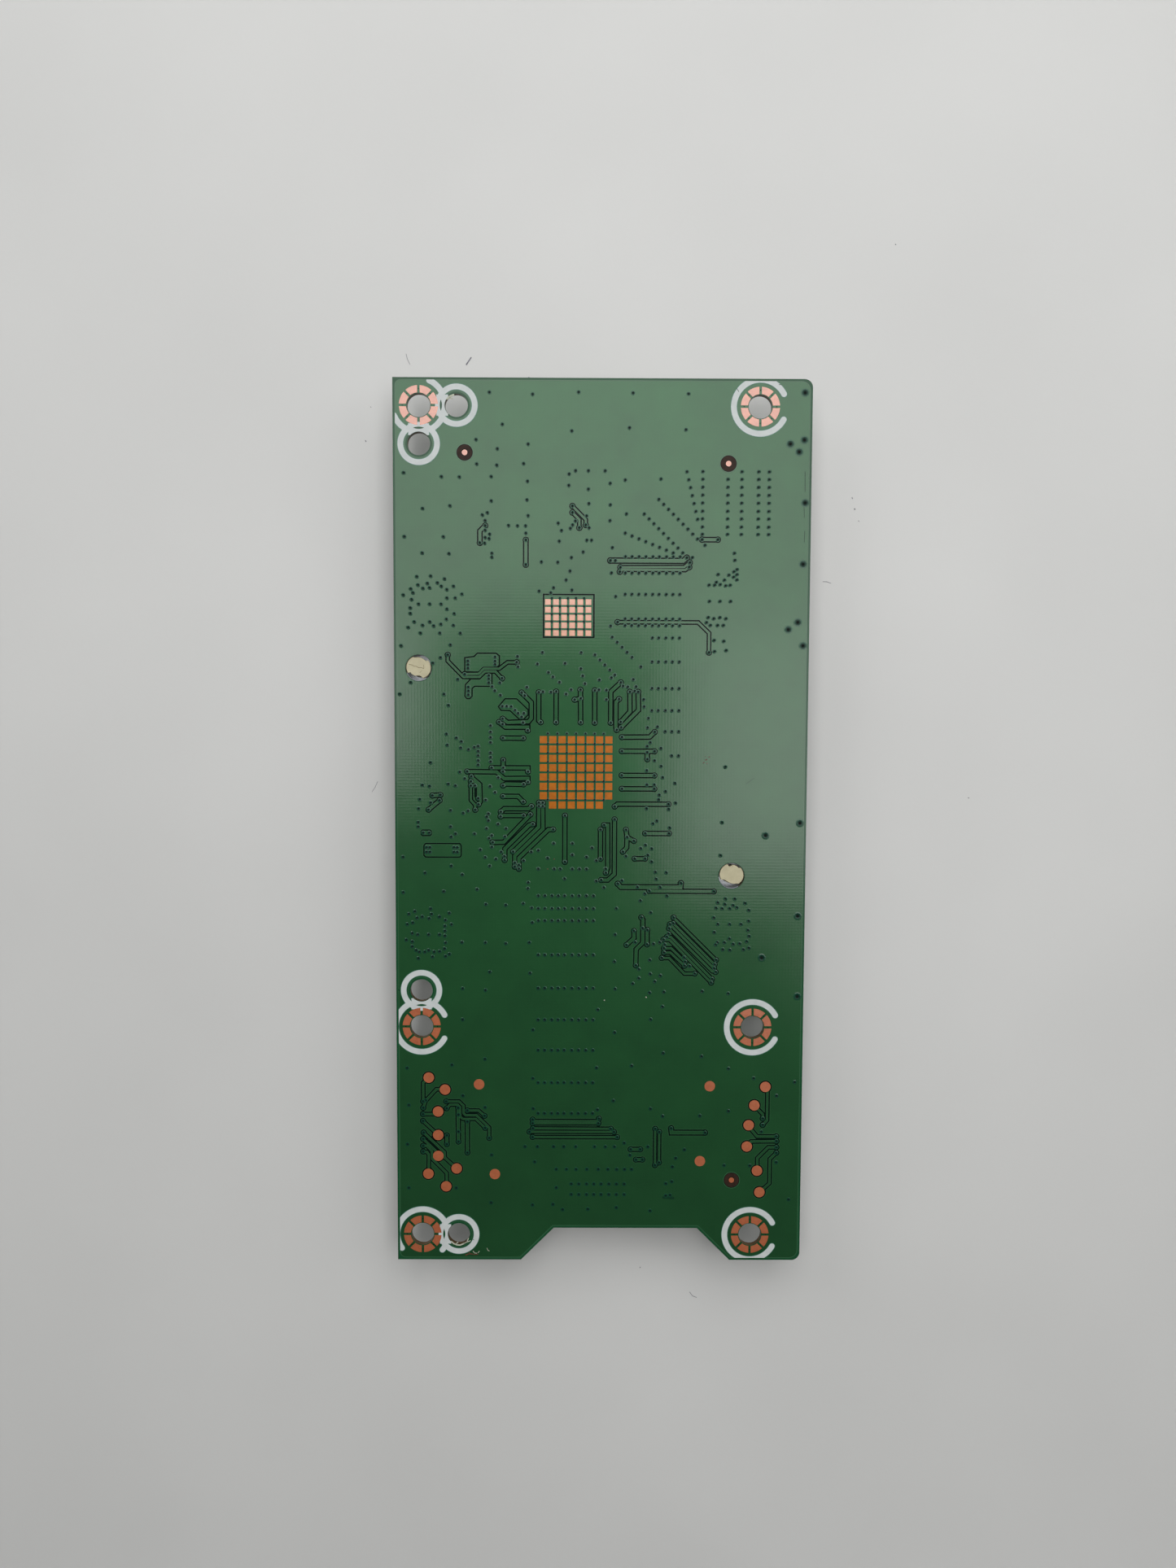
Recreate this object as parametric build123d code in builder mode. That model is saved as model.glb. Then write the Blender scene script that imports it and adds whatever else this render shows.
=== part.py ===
from build123d import *
import os
from math import atan2, cos, degrees, radians, sin

os.makedirs("parts", exist_ok=True)

# Timing-control board of a flat display panel, in millimetres.
# It lies as it would be put down on a bench: solder side up (+Z), component side down,
# standing on the fins of its heat sink. +X and +Y are right and up, seen from above.

# Board
board_width = 75.0
board_length = 161.6
board_thickness = 1.2
corner_radius = 1.5
notch_centre_from_right = 32.6
notch_top_width = 26.7
notch_depth = 6.1
notch_flare = 6.1
copper = 0.06

# Screw holes: four corners and one more pair, with bare lands round them
screw_hole = 4.2
screw_from_left = 4.65
screw_from_right = 9.35
screw_from_end = 4.9
middle_screw_from_bottom = 44.2
screw_land_inner = 4.5
screw_land_outer = 7.0
screw_land_gap = 0.45
petal_sides = 16

# Spare locating holes beside the screw holes on the left
spare_hole = 4.1
spare_hole_step = 6.75

# Heat stack under the controller chip
sink_height = 7.0
sink_base = 2.0
sink_width = 40.0
sink_length = 40.0
fin_count = 10
fin_pitch = 4.2
fin_tip = 1.2
fin_root = 1.7
ear_radius = 4.0
ear_overlap = 12.0
ear_drop = 4.0
pad_thickness = 0.5
pad_inset = 0.5

# Nylon push pins and their springs
pin_reach_x = 28.5
pin_reach_y = 18.85
pin_hole = 4.75
pin_shank = 3.0
pin_core = 3.5
pin_wing = 4.3
pin_wing_width = 3.0
pin_head = 7.0
pin_head_height = 1.0
pin_head_lift = 0.6
pin_recess = 0.15
pin_slit = 0.25
pin_slit_length = 2.7
pin_slit_depth = 2.6
pin_turn = -18.0
pin_clearance = 0.15
spring_wire = 0.5
spring_diameter = 5.2
spring_turns = 3
runs_per_turn = 8
spring_clearance = 0.05

# Controller chip, a flat package with leads on all four sides
controller_from_left = 32.95
controller_from_top = 70.4
controller_size = 20.0
controller_body = 1.4
controller_lead_count = 36
lead_pitch = 0.5
lead_width = 0.22
lead_thickness = 0.15
lead_reach = 1.0
lead_foot = 0.55
chip_stand_off = 0.1
mould_draft = 8.0
dimple_depth = 0.08
controller_dimple = 1.6
slug_size = 12.0

# Bare copper lands on the back, under the two hot chips
heat_land = 1.3
heat_land_pitch = 1.7
heat_land_columns = 8
heat_land_rows = 7
heat_land_last_row = 6
power_land = 1.0
power_land_pitch_x = 1.465
power_land_pitch_y = 1.39
power_land_columns = 6
power_land_rows = 5

# Power chip, a flat package soldered by its underside
power_from_left = 31.43
power_from_top = 42.42
power_chip_size = 9.0
power_chip_height = 0.9
flat_chip_dimple = 0.9

# Cable sockets with a flip lever
contact_count = 51
contact_pitch = 0.5
contact_width = 0.2
contact_thickness = 0.15
contact_foot = 0.8
cable_thickness = 0.3
socket_depth = 5.5
socket_height = 2.4
socket_floor = 0.95
socket_setback = 0.6
socket_lever_room = 2.6
socket_slot_depth = 2.2
socket_cheek = 1.7
lever_extra = 0.8
lever_side_gap = 0.1
lever_thickness = 0.8
lever_hinge_back = 1.95
lever_hinge_height = 1.85
lever_hub = 1.0
lever_pivot = 0.7
lever_pivot_length = 0.8
lever_pivot_clearance = 0.07
tab_width = 2.2
tab_reach = 0.9
tab_thickness = 0.2
input_socket_from_top = 26.3

# Power inductors: square shielded cores with bevelled corners on two terminals
inductor_size = 6.6
inductor_height = 3.0
inductor_bevel = 1.3
inductor_ring = 4.6
inductor_groove = 0.35
inductor_terminal_width = 1.5
inductor_terminal_length = 4.6
solder_lift = 0.2
inductors_from_power = [(-12.5, 7.7), (0.5, 13.2), (-12.5, 18.2)]

# Rectifier diodes: moulded bodies with folded end tabs
diode_length = 4.2
diode_width = 2.6
diode_height = 2.0
diode_tab_width = 1.5
diode_tab_thickness = 0.2
diode_tab_foot = 1.0
diodes_from_power = [(-12.5, 1.0), (6.4, 13.2), (-6.2, 15.7)]
diode_turns = [0, 90, 90]

# Ceramic capacitors and resistors: length, width, height and end cap of each kind
large_capacitor = (3.2, 2.5, 2.0, 0.5)
small_capacitor = (1.6, 0.8, 0.8, 0.0)
resistor = (1.6, 0.8, 0.45, 0.0)
fuse = (6.1, 2.6, 2.4, 1.1)

# Rows of them, measured from the chip or socket they serve: x, y and the step along and across,
# then how many stand along and across
large_rows_from_power = [(-0.4, 21.7, 4.4, 3.6), (-6.6, 9.3, 4.4, 3.2), (-19.0, 9.7, 4.4, 3.6)]
large_power_row_count = [(4, 2), (1, 2), (1, 3)]
large_rows_from_controller = [(12.55, -43.9, 4.4, 3.6)]
large_controller_row_count = [(2, 1)]
decoupling_reach = 4.0
decoupling_step = 3.4
decoupling_count = 5
filter_reach = 2.7
filter_step = 2.0
filter_count = 4
spare_rows_from_controller = [(-13.45, -42.4, 2.4, 2.4)]
spare_row_count = [(2, 3)]
resistor_rows_from_controller = [(-11.45, -31.4, 2.4, 1.6), (28.55, -40.4, 2.4, 1.6)]
resistor_controller_row_count = [(2, 4), (1, 5)]
resistor_rows_from_power = [(-18.5, 21.7, 2.4, 1.6)]
resistor_power_row_count = [(1, 5)]

# Eight signal pairs come in at one socket and go out at the other, through a part each
pair_count = 8
input_pair_step = 2.4
input_resistor_reach = 12.3
input_capacitor_reach = 9.3
output_pair_step = 3.2
output_resistor_reach = 11.3
fuse_from_input = (-19.9, 16.0)

# Driver chips without leads, measured from the middle of the notch
driver_chip_height = 0.85
driver_chips_from_notch = [(-21.9, 17.7), (9.6, 17.7)]
driver_chip_sizes = [6.0, 7.0]

# Memory chip with leads on two sides
memory_from_controller_x = 20.55
memory_from_controller_y = -38.4
memory_width = 5.2
memory_length = 5.2
memory_height = 1.7
memory_lead_count = 4
memory_lead_pitch = 1.27
memory_lead_width = 0.42
memory_lead_reach = 1.3
memory_lead_foot = 0.7
memory_dimple = 0.7

# Quartz crystal in a ceramic tray under a metal lid
crystal_from_controller_x = -12.95
crystal_from_controller_y = -21.4
crystal_length = 3.2
crystal_width = 2.5
crystal_tray = 0.6
crystal_lid = 0.3
crystal_rim = 0.25

# Round test lands, measured from the screw hole in the lower corner on their side
test_land = 1.95
land_sides = 12
test_lands_from_left_screw = [
    (1.25, 29.7), (4.25, 27.45), (2.95, 23.3), (2.95, 18.85), (2.95, 14.9),
    (6.35, 12.5), (1.1, 11.5), (4.4, 9.1), (10.55, 28.45), (13.45, 11.45),
]
test_lands_from_right_screw = [
    (-7.75, 28.2), (-9.45, 14.0), (2.55, 28.1), (0.55, 24.6),
    (-0.45, 20.85), (-0.75, 16.8), (1.2, 12.2), (1.7, 8.1),
]

# The three optical marks, each measured from the screw hole in its corner
fiducial_dot = 1.0
fiducial_from_upper_left = (8.2, -8.27)
fiducial_from_upper_right = (-5.57, -10.03)
fiducial_from_lower_right = (-3.53, 10.4)

# Bare ground lands on the component side: from the upper pin, two middle screws and input socket
ground_land = 6.0
ground_from_pin = (2.25, 11.05)
ground_from_left_screw = (1.15, 16.9)
ground_from_right_screw = (-3.75, 18.4)
ground_from_input = (-15.6, -13.1)

# Levels and edges that everything else follows
controller_height = chip_stand_off + controller_body
board_under = sink_height + pad_thickness + controller_height
board_top = board_under + board_thickness
left = -board_width / 2
right = board_width / 2
top = board_length / 2
bottom = -board_length / 2
notch_x = right - notch_centre_from_right
notch_y = bottom + notch_depth
input_x = right - socket_setback
input_y = top - input_socket_from_top
controller_x = left + controller_from_left
controller_y = top - controller_from_top
power_x = left + power_from_left
power_y = top - power_from_top
screw_left = left + screw_from_left
screw_right = right - screw_from_right
screw_top = top - screw_from_end
screw_bottom = bottom + screw_from_end
screw_middle = bottom + middle_screw_from_bottom
screw_places = [(x, y) for x in (screw_left, screw_right) for y in (screw_top, screw_middle, screw_bottom)]
spare_places = [
    (screw_left + spare_hole_step, screw_top),
    (screw_left, screw_top - spare_hole_step),
    (screw_left, screw_middle + spare_hole_step),
    (screw_left + spare_hole_step, screw_bottom),
]
pin_places = [
    (controller_x - pin_reach_x, controller_y + pin_reach_y),
    (controller_x + pin_reach_x, controller_y - pin_reach_y),
]


def placed(x, y, offsets):
    """Places at offsets from the piece they are measured from."""
    return [(x + across, y + up) for across, up in offsets]


def in_rows(x, y, rows, counts):
    """Places of pieces that stand in rows, each row's middle at an offset from x, y."""
    return [
        (
            x + across + (column - (columns - 1) / 2) * step_x,
            y + up + (line - (lines - 1) / 2) * step_y,
        )
        for (across, up, step_x, step_y), (columns, lines) in zip(rows, counts)
        for column in range(columns)
        for line in range(lines)
    ]


def under_board(x, y, turn=0.0, drop=0.0):
    """Plane on the component side at a place on the board, facing down, at a drop below the board."""
    along = (cos(radians(turn)), sin(radians(turn)), 0)
    return Plane(origin=(x, y, board_under - drop), x_dir=along, z_dir=(0, 0, -1))


def on_board(places):
    """Locations on the component side, for pieces drawn standing on z = 0 and pointing down."""
    return [Location((place[0], place[1], board_under), (0, 0, place[2] if len(place) > 2 else 0))
            for place in places]


# Bare board
with BuildPart() as pcb:
    with BuildSketch(Plane.XY.offset(board_under)) as outline:
        Rectangle(board_width, board_length)
        fillet(outline.vertices().group_by(Axis.X)[-1], corner_radius)
        with BuildLine():
            Polyline(
                (notch_x - notch_top_width / 2 - notch_flare, bottom),
                (notch_x - notch_top_width / 2, notch_y),
                (notch_x + notch_top_width / 2, notch_y),
                (notch_x + notch_top_width / 2 + notch_flare, bottom),
                close=True,
            )
        make_face(mode=Mode.SUBTRACT)
        with Locations(*screw_places):
            Circle(screw_hole / 2, mode=Mode.SUBTRACT)
        with Locations(*spare_places):
            Circle(spare_hole / 2, mode=Mode.SUBTRACT)
        with Locations(*pin_places):
            Circle(pin_hole / 2, mode=Mode.SUBTRACT)
    extrude(amount=board_thickness)
pcb.part.label = "pcb"
export_step(pcb.part, "parts/pcb.step")

# Eight bare copper petals round each screw hole
with BuildPart() as screw_lands:
    with BuildSketch(Plane.XY.offset(board_top)):
        with Locations(*screw_places):
            RegularPolygon(screw_land_outer / 2, petal_sides)
            RegularPolygon(screw_land_inner / 2, petal_sides, mode=Mode.SUBTRACT)
            for turn in (0, 45, 90, 135):
                Rectangle(screw_land_outer + copper, screw_land_gap, rotation=turn, mode=Mode.SUBTRACT)
    extrude(amount=copper)
screw_lands.part.label = "screw_lands"
export_step(screw_lands.part, "parts/screw_lands.step")

# Square heat lands behind the controller chip, with a short last row
heat_rows_above = heat_land_rows * heat_land_pitch / 2
with BuildPart() as controller_heat_lands:
    with BuildSketch(Plane.XY.offset(board_top)):
        with Locations((controller_x, controller_y + heat_land_pitch / 2)):
            with GridLocations(heat_land_pitch, heat_land_pitch, heat_land_columns, heat_land_rows):
                Rectangle(heat_land, heat_land)
        with Locations((controller_x, controller_y - heat_rows_above)):
            with GridLocations(heat_land_pitch, heat_land_pitch, heat_land_last_row, 1):
                Rectangle(heat_land, heat_land)
    extrude(amount=copper)
controller_heat_lands.part.label = "controller_heat_lands"
export_step(controller_heat_lands.part, "parts/controller_heat_lands.step")

# Smaller grid of heat lands behind the power chip
with BuildPart() as power_heat_lands:
    with BuildSketch(Plane.XY.offset(board_top)):
        with Locations((power_x, power_y)):
            with GridLocations(power_land_pitch_x, power_land_pitch_y, power_land_columns, power_land_rows):
                Rectangle(power_land, power_land)
    extrude(amount=copper)
power_heat_lands.part.label = "power_heat_lands"
export_step(power_heat_lands.part, "parts/power_heat_lands.step")

# Round test lands along both lower edges
left_test_lands = placed(screw_left, screw_bottom, test_lands_from_left_screw)
right_test_lands = placed(screw_right, screw_bottom, test_lands_from_right_screw)
with BuildPart() as test_lands:
    with BuildSketch(Plane.XY.offset(board_top)):
        with Locations(*left_test_lands, *right_test_lands):
            RegularPolygon(test_land / 2, land_sides)
    extrude(amount=copper)
test_lands.part.label = "test_lands"
export_step(test_lands.part, "parts/test_lands.step")

# Dots of the optical marks
fiducial_places = (
    placed(screw_left, screw_top, [fiducial_from_upper_left])
    + placed(screw_right, screw_top, [fiducial_from_upper_right])
    + placed(screw_right, screw_bottom, [fiducial_from_lower_right])
)
with BuildPart() as fiducials:
    with BuildSketch(Plane.XY.offset(board_top)):
        with Locations(*fiducial_places):
            RegularPolygon(fiducial_dot / 2, land_sides)
    extrude(amount=copper)
fiducials.part.label = "fiducials"
export_step(fiducials.part, "parts/fiducials.step")

# Round bare ground lands on the component side, in the middle of the rings of vias
ground_land_places = (
    placed(*pin_places[0], [ground_from_pin])
    + placed(screw_left, screw_middle, [ground_from_left_screw])
    + placed(screw_right, screw_middle, [ground_from_right_screw])
    + placed(input_x, input_y, [ground_from_input])
)
with BuildPart() as ground_lands:
    with BuildSketch(Plane.XY.offset(board_under)):
        with Locations(*ground_land_places):
            RegularPolygon(ground_land / 2, 2 * land_sides)
    extrude(amount=-copper)
ground_lands.part.label = "ground_lands"
export_step(ground_lands.part, "parts/ground_lands.step")


def moulded_body(x, y, turn, width, length, height, stand_off, lead_band, dimple=0.0):
    """Chip body: a straight band where the leads leave, and drafted halves above and below it."""
    half = (height - lead_band) / 2
    with BuildPart() as body:
        with BuildSketch(under_board(x, y, turn, stand_off + half)):
            Rectangle(width, length)
        extrude(amount=lead_band)
        with BuildSketch(under_board(x, y, turn, stand_off + half)):
            Rectangle(width, length)
        extrude(amount=-half, taper=mould_draft)
        with BuildSketch(under_board(x, y, turn, stand_off + half + lead_band)):
            Rectangle(width, length)
        extrude(amount=half, taper=mould_draft)
        if dimple:
            with BuildSketch(under_board(x, y, turn, stand_off + height)):
                with Locations((-width / 2 + 1.6 * dimple, length / 2 - 1.6 * dimple)):
                    RegularPolygon(dimple / 2, land_sides)
            extrude(amount=-dimple_depth, mode=Mode.SUBTRACT)
    return body


def gull_wing(body_half, stand_off, body_height, width, reach, foot):
    """One lead that leaves a chip body along +X, steps towards the board and ends in a flat foot."""
    shoulder = stand_off + (body_height + lead_thickness) / 2
    tip = body_half + reach
    with BuildPart() as lead:
        with BuildSketch(Plane.XZ):
            with BuildLine():
                Polyline(
                    (body_half, -shoulder),
                    (tip - foot + lead_thickness, -lead_thickness),
                    (tip, -lead_thickness),
                    (tip, 0),
                    (tip - foot, 0),
                    (body_half, -shoulder + lead_thickness),
                    close=True,
                )
            make_face()
        extrude(amount=width / 2, both=True)
    return lead


# Controller chip
controller_chip = moulded_body(controller_x, controller_y, 0, controller_size, controller_size,
                               controller_body, chip_stand_off, lead_thickness, controller_dimple)
controller_chip.part.label = "controller_body"
export_step(controller_chip.part, "parts/controller_body.step")

controller_lead = gull_wing(controller_size / 2, chip_stand_off, controller_body,
                            lead_width, lead_reach, lead_foot)
first_lead = -(controller_lead_count - 1) * lead_pitch / 2
with BuildPart() as controller_leads:
    with Locations(
        *[
            Location((controller_x, controller_y, board_under), (0, 0, side))
            * Location((0, first_lead + index * lead_pitch, 0))
            for side in (0, 90, 180, 270)
            for index in range(controller_lead_count)
        ]
    ):
        add(controller_lead.part)
controller_leads.part.label = "controller_leads"
export_step(controller_leads.part, "parts/controller_leads.step")

# Exposed heat slug in the controller's underside, soldered to the board
with BuildPart() as controller_slug:
    with BuildSketch(under_board(controller_x, controller_y)):
        Rectangle(slug_size, slug_size)
    extrude(amount=chip_stand_off)
controller_slug.part.label = "controller_slug"
export_step(controller_slug.part, "parts/controller_slug.step")

# Soft pad between chip and heat sink
pad_size = controller_size - 2 * pad_inset
with BuildPart() as thermal_pad:
    with BuildSketch(under_board(controller_x, controller_y, 0, controller_height)):
        Rectangle(pad_size, pad_size)
    extrude(amount=pad_thickness)
thermal_pad.part.label = "thermal_pad"
export_step(thermal_pad.part, "parts/thermal_pad.step")

# Heat sink: drafted fins on a base plate, with an ear towards each push pin
fin_height = sink_height - sink_base
fin_side = degrees(atan2(fin_height, (fin_root - fin_tip) / 2))
with BuildPart() as heat_sink:
    with BuildSketch(Plane.XY.offset(fin_height)):
        with Locations((controller_x, controller_y)):
            Rectangle(sink_width, sink_length)
    extrude(amount=sink_base)
    for side, (pin_x, pin_y) in zip((1, -1), pin_places):
        with BuildSketch(Plane.XY.offset(fin_height)):
            with Locations((pin_x, pin_y), (pin_x + side * ear_overlap, pin_y - side * ear_drop)):
                Circle(ear_radius)
            make_hull()
        extrude(amount=sink_base)
    with BuildSketch(Plane.XY.offset(fin_height)):
        with Locations(*pin_places):
            Circle(pin_shank / 2 + pin_clearance)
    extrude(amount=sink_base, mode=Mode.SUBTRACT)
    with BuildSketch(Plane((controller_x, controller_y, fin_height), x_dir=(1, 0, 0), z_dir=(0, 1, 0))):
        with GridLocations(fin_pitch, 0, fin_count, 1):
            Trapezoid(fin_root, fin_height, fin_side, align=(Align.CENTER, Align.MIN))
    extrude(amount=sink_length / 2, both=True)
heat_sink.part.label = "heat_sink"
export_step(heat_sink.part, "parts/heat_sink.step")

# Push pins: round head, shank, and a split end with two wings that fills the hole in the board
pin_tip_z = board_top - pin_recess
pin_head_top = pin_head_lift + pin_head_height
pin_step = (pin_core - pin_shank) / 2
with BuildPart() as push_pins:
    for pin_x, pin_y in pin_places:
        with BuildSketch(Plane((pin_x, pin_y, 0), x_dir=(1, 0, 0), z_dir=(0, -1, 0))):
            with BuildLine():
                Polyline(
                    (0, pin_head_lift),
                    (pin_head / 2 - pin_head_height / 2, pin_head_lift),
                    (pin_head / 2, pin_head_top),
                    (pin_shank / 2, pin_head_top),
                    (pin_shank / 2, board_under - pin_step),
                    (pin_core / 2, board_under),
                    (pin_core / 2, pin_tip_z),
                    (0, pin_tip_z),
                    close=True,
                )
            make_face()
        revolve(axis=Axis((pin_x, pin_y, 0), (0, 0, 1)))
        with BuildSketch(Plane((pin_x, pin_y, board_under))):
            Circle(pin_wing / 2)
            Rectangle(pin_wing, pin_wing_width, rotation=pin_turn, mode=Mode.INTERSECT)
        extrude(amount=pin_tip_z - board_under)
        with BuildSketch(Plane((pin_x, pin_y, pin_tip_z))):
            Rectangle(pin_slit_length, pin_slit, rotation=pin_turn)
        extrude(amount=-pin_slit_depth, mode=Mode.SUBTRACT)
push_pins.part.label = "push_pins"
export_step(push_pins.part, "parts/push_pins.step")

# Coil spring between each pin's head and the heat sink's ear, wound of square wire in short runs
spring_room = fin_height - pin_head_top
spring_rise = spring_room - spring_wire - 2 * spring_clearance
spring_radius = (spring_diameter - spring_wire) / 2
spring_start = pin_head_top + spring_clearance + spring_wire / 2
with BuildPart() as pin_springs:
    for pin_x, pin_y in pin_places:
        with BuildLine() as coil:
            Polyline(*[
                (
                    pin_x + spring_radius * cos(radians(360 * run / runs_per_turn)),
                    pin_y + spring_radius * sin(radians(360 * run / runs_per_turn)),
                    spring_start + spring_rise * run / (runs_per_turn * spring_turns),
                )
                for run in range(runs_per_turn * spring_turns + 1)
            ])
        with BuildSketch(Plane(origin=coil.line @ 0, z_dir=coil.line % 0)):
            Rectangle(spring_wire, spring_wire)
        sweep(transition=Transition.RIGHT)
pin_springs.part.label = "pin_springs"
export_step(pin_springs.part, "parts/pin_springs.step")


def leadless_body(x, y, size, height):
    """Sawn square chip body that lies on its soldered underside, with a dimple in one corner."""
    with BuildPart() as body:
        with BuildSketch(under_board(x, y)):
            Rectangle(size, size)
        extrude(amount=height)
        with BuildSketch(under_board(x, y, 0, height)):
            with Locations((-size / 2 + flat_chip_dimple, size / 2 - flat_chip_dimple)):
                RegularPolygon(flat_chip_dimple / 2, land_sides)
        extrude(amount=-dimple_depth, mode=Mode.SUBTRACT)
    return body


# Power chip
power_chip = leadless_body(power_x, power_y, power_chip_size, power_chip_height)
power_chip.part.label = "power_chip_body"
export_step(power_chip.part, "parts/power_chip_body.step")


# Cable sockets: moulded housing, flip lever on two pivots, solder contacts and hold-down tabs
cable_width = (contact_count + 1) * contact_pitch
lever_length = cable_width + 2 * lever_extra
socket_length = lever_length + 2 * (lever_side_gap + socket_cheek)
slot_height = cable_thickness + 2 * lever_pivot_clearance
lever_bottom = socket_floor + slot_height
pivot_slot = lever_pivot + 2 * lever_pivot_clearance


def cable_socket(name, mouth_x, mouth_y, outward, along):
    """A socket whose mouth faces outward, in profile planes: x outward from the mouth, y down."""
    mouth = (mouth_x, mouth_y, board_under)
    middle = Plane(origin=mouth, x_dir=outward, z_dir=along)
    with BuildPart() as housing:
        with BuildSketch(middle):
            with BuildLine():
                Polyline(
                    (0, 0),
                    (0, socket_floor),
                    (-socket_lever_room, socket_floor),
                    (-socket_lever_room, socket_height),
                    (-socket_depth, socket_height),
                    (-socket_depth, 0),
                    close=True,
                )
            make_face()
        extrude(amount=socket_length / 2, both=True)
        for side in (-1, 1):
            cheek_inside = middle.offset(side * (socket_length / 2 - socket_cheek))
            with BuildSketch(cheek_inside):
                with Locations((-socket_lever_room / 2, socket_height / 2)):
                    Rectangle(socket_lever_room, socket_height)
            extrude(amount=side * socket_cheek)
            with BuildSketch(cheek_inside):
                with Locations((-lever_hinge_back, lever_hinge_height - pivot_slot / 2)):
                    Rectangle(pivot_slot, socket_height, align=(Align.CENTER, Align.MIN))
            extrude(amount=side * (lever_pivot_length + lever_side_gap), mode=Mode.SUBTRACT)
        with BuildSketch(middle):
            with Locations((-socket_lever_room - socket_slot_depth / 2, socket_floor + slot_height / 2)):
                Rectangle(socket_slot_depth, slot_height)
        extrude(amount=cable_width / 2, both=True, mode=Mode.SUBTRACT)
    housing.part.label = f"{name}_housing"
    export_step(housing.part, f"parts/{name}_housing.step")

    with BuildPart() as lever:
        with BuildSketch(middle):
            with Locations((-lever_hinge_back, lever_hinge_height)):
                Circle(lever_hub / 2)
            with BuildLine():
                Polyline(
                    (-lever_hinge_back, lever_bottom),
                    (-lever_thickness / 4, lever_bottom),
                    (0, lever_bottom + lever_thickness / 4),
                    (-lever_thickness / 2, lever_bottom + lever_thickness),
                    (-lever_hinge_back, lever_bottom + lever_thickness),
                    close=True,
                )
            make_face()
        extrude(amount=lever_length / 2, both=True)
        for side in (-1, 1):
            with BuildSketch(middle.offset(side * lever_length / 2)):
                with Locations((-lever_hinge_back, lever_hinge_height)):
                    Circle(lever_pivot / 2)
            extrude(amount=side * lever_pivot_length)
    lever.part.label = f"{name}_lever"
    export_step(lever.part, f"parts/{name}_lever.step")

    with BuildPart() as contacts:
        with BuildSketch(Plane(origin=mouth, x_dir=along, z_dir=(0, 0, -1))) as feet:
            with Locations((0, -feet_side(outward, along) * (socket_depth + contact_foot / 2))):
                with GridLocations(contact_pitch, 0, contact_count, 1):
                    Rectangle(contact_width, contact_foot)
        extrude(amount=contact_thickness)
    contacts.part.label = f"{name}_contacts"
    export_step(contacts.part, f"parts/{name}_contacts.step")

    with BuildPart() as tabs:
        for side in (-1, 1):
            with BuildSketch(middle.offset(side * socket_length / 2)):
                with Locations((-socket_depth / 2, socket_height / 4)):
                    Rectangle(tab_width, socket_height / 2)
            extrude(amount=side * tab_thickness)
            with BuildSketch(middle.offset(side * (socket_length / 2 + tab_thickness))):
                with Locations((-socket_depth / 2, tab_thickness / 2)):
                    Rectangle(tab_width, tab_thickness)
            extrude(amount=side * tab_reach)
    tabs.part.label = f"{name}_tabs"
    export_step(tabs.part, f"parts/{name}_tabs.step")


def feet_side(outward, along):
    """Which way the mouth faces on a plane drawn along the socket and seen from below."""
    across = Plane(origin=(0, 0, 0), x_dir=along, z_dir=(0, 0, -1)).y_dir
    return 1 if across.dot(Vector(*outward)) > 0 else -1


cable_socket("input_socket", input_x, input_y, (1, 0, 0), (0, 1, 0))
cable_socket("output_socket", notch_x, notch_y + socket_setback, (0, -1, 0), (1, 0, 0))


# Power inductors
inductor_places = placed(power_x, power_y, inductors_from_power)
with BuildPart() as inductor_bodies:
    for place in inductor_places:
        with BuildSketch(under_board(place[0], place[1], 0, solder_lift)) as core:
            Rectangle(inductor_size, inductor_size)
            chamfer(core.vertices(), inductor_bevel)
        extrude(amount=inductor_height - solder_lift)
        with BuildSketch(under_board(place[0], place[1], 0, inductor_height)):
            RegularPolygon(inductor_ring / 2 + inductor_groove, land_sides)
            RegularPolygon(inductor_ring / 2, land_sides, mode=Mode.SUBTRACT)
        extrude(amount=-inductor_groove, mode=Mode.SUBTRACT)
inductor_bodies.part.label = "inductor_bodies"
export_step(inductor_bodies.part, "parts/inductor_bodies.step")

with BuildPart() as inductor_terminals:
    for place in inductor_places:
        with BuildSketch(under_board(*place)):
            with GridLocations(inductor_size - inductor_terminal_width, 0, 2, 1):
                Rectangle(inductor_terminal_width, inductor_terminal_length)
        extrude(amount=solder_lift)
inductor_terminals.part.label = "inductor_terminals"
export_step(inductor_terminals.part, "parts/inductor_terminals.step")

# Diodes
diode_spots = placed(power_x, power_y, diodes_from_power)
diode_places = [(x, y, turn) for (x, y), turn in zip(diode_spots, diode_turns)]
diode_body_height = diode_height - diode_tab_thickness
with BuildPart() as diode_bodies:
    for x, y, turn in diode_places:
        add(moulded_body(x, y, turn, diode_length, diode_width, diode_body_height,
                         diode_tab_thickness, diode_tab_thickness).part)
diode_bodies.part.label = "diode_bodies"
export_step(diode_bodies.part, "parts/diode_bodies.step")

diode_shoulder = (diode_height + 2 * diode_tab_thickness) / 2
with BuildPart() as diode_tab:
    with BuildSketch(Plane.XZ):
        with BuildLine():
            Polyline(
                (diode_length / 2, -diode_shoulder),
                (diode_length / 2 + diode_tab_thickness, -diode_shoulder),
                (diode_length / 2 + diode_tab_thickness, 0),
                (diode_length / 2 - diode_tab_foot, 0),
                (diode_length / 2 - diode_tab_foot, -diode_tab_thickness),
                (diode_length / 2, -diode_tab_thickness),
                close=True,
            )
        make_face()
    extrude(amount=diode_tab_width / 2, both=True)
with BuildPart() as diode_tabs:
    with Locations(*on_board([(x, y, turn + end) for x, y, turn in diode_places for end in (0, 180)])):
        add(diode_tab.part)
diode_tabs.part.label = "diode_tabs"
export_step(diode_tabs.part, "parts/diode_tabs.step")


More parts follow.
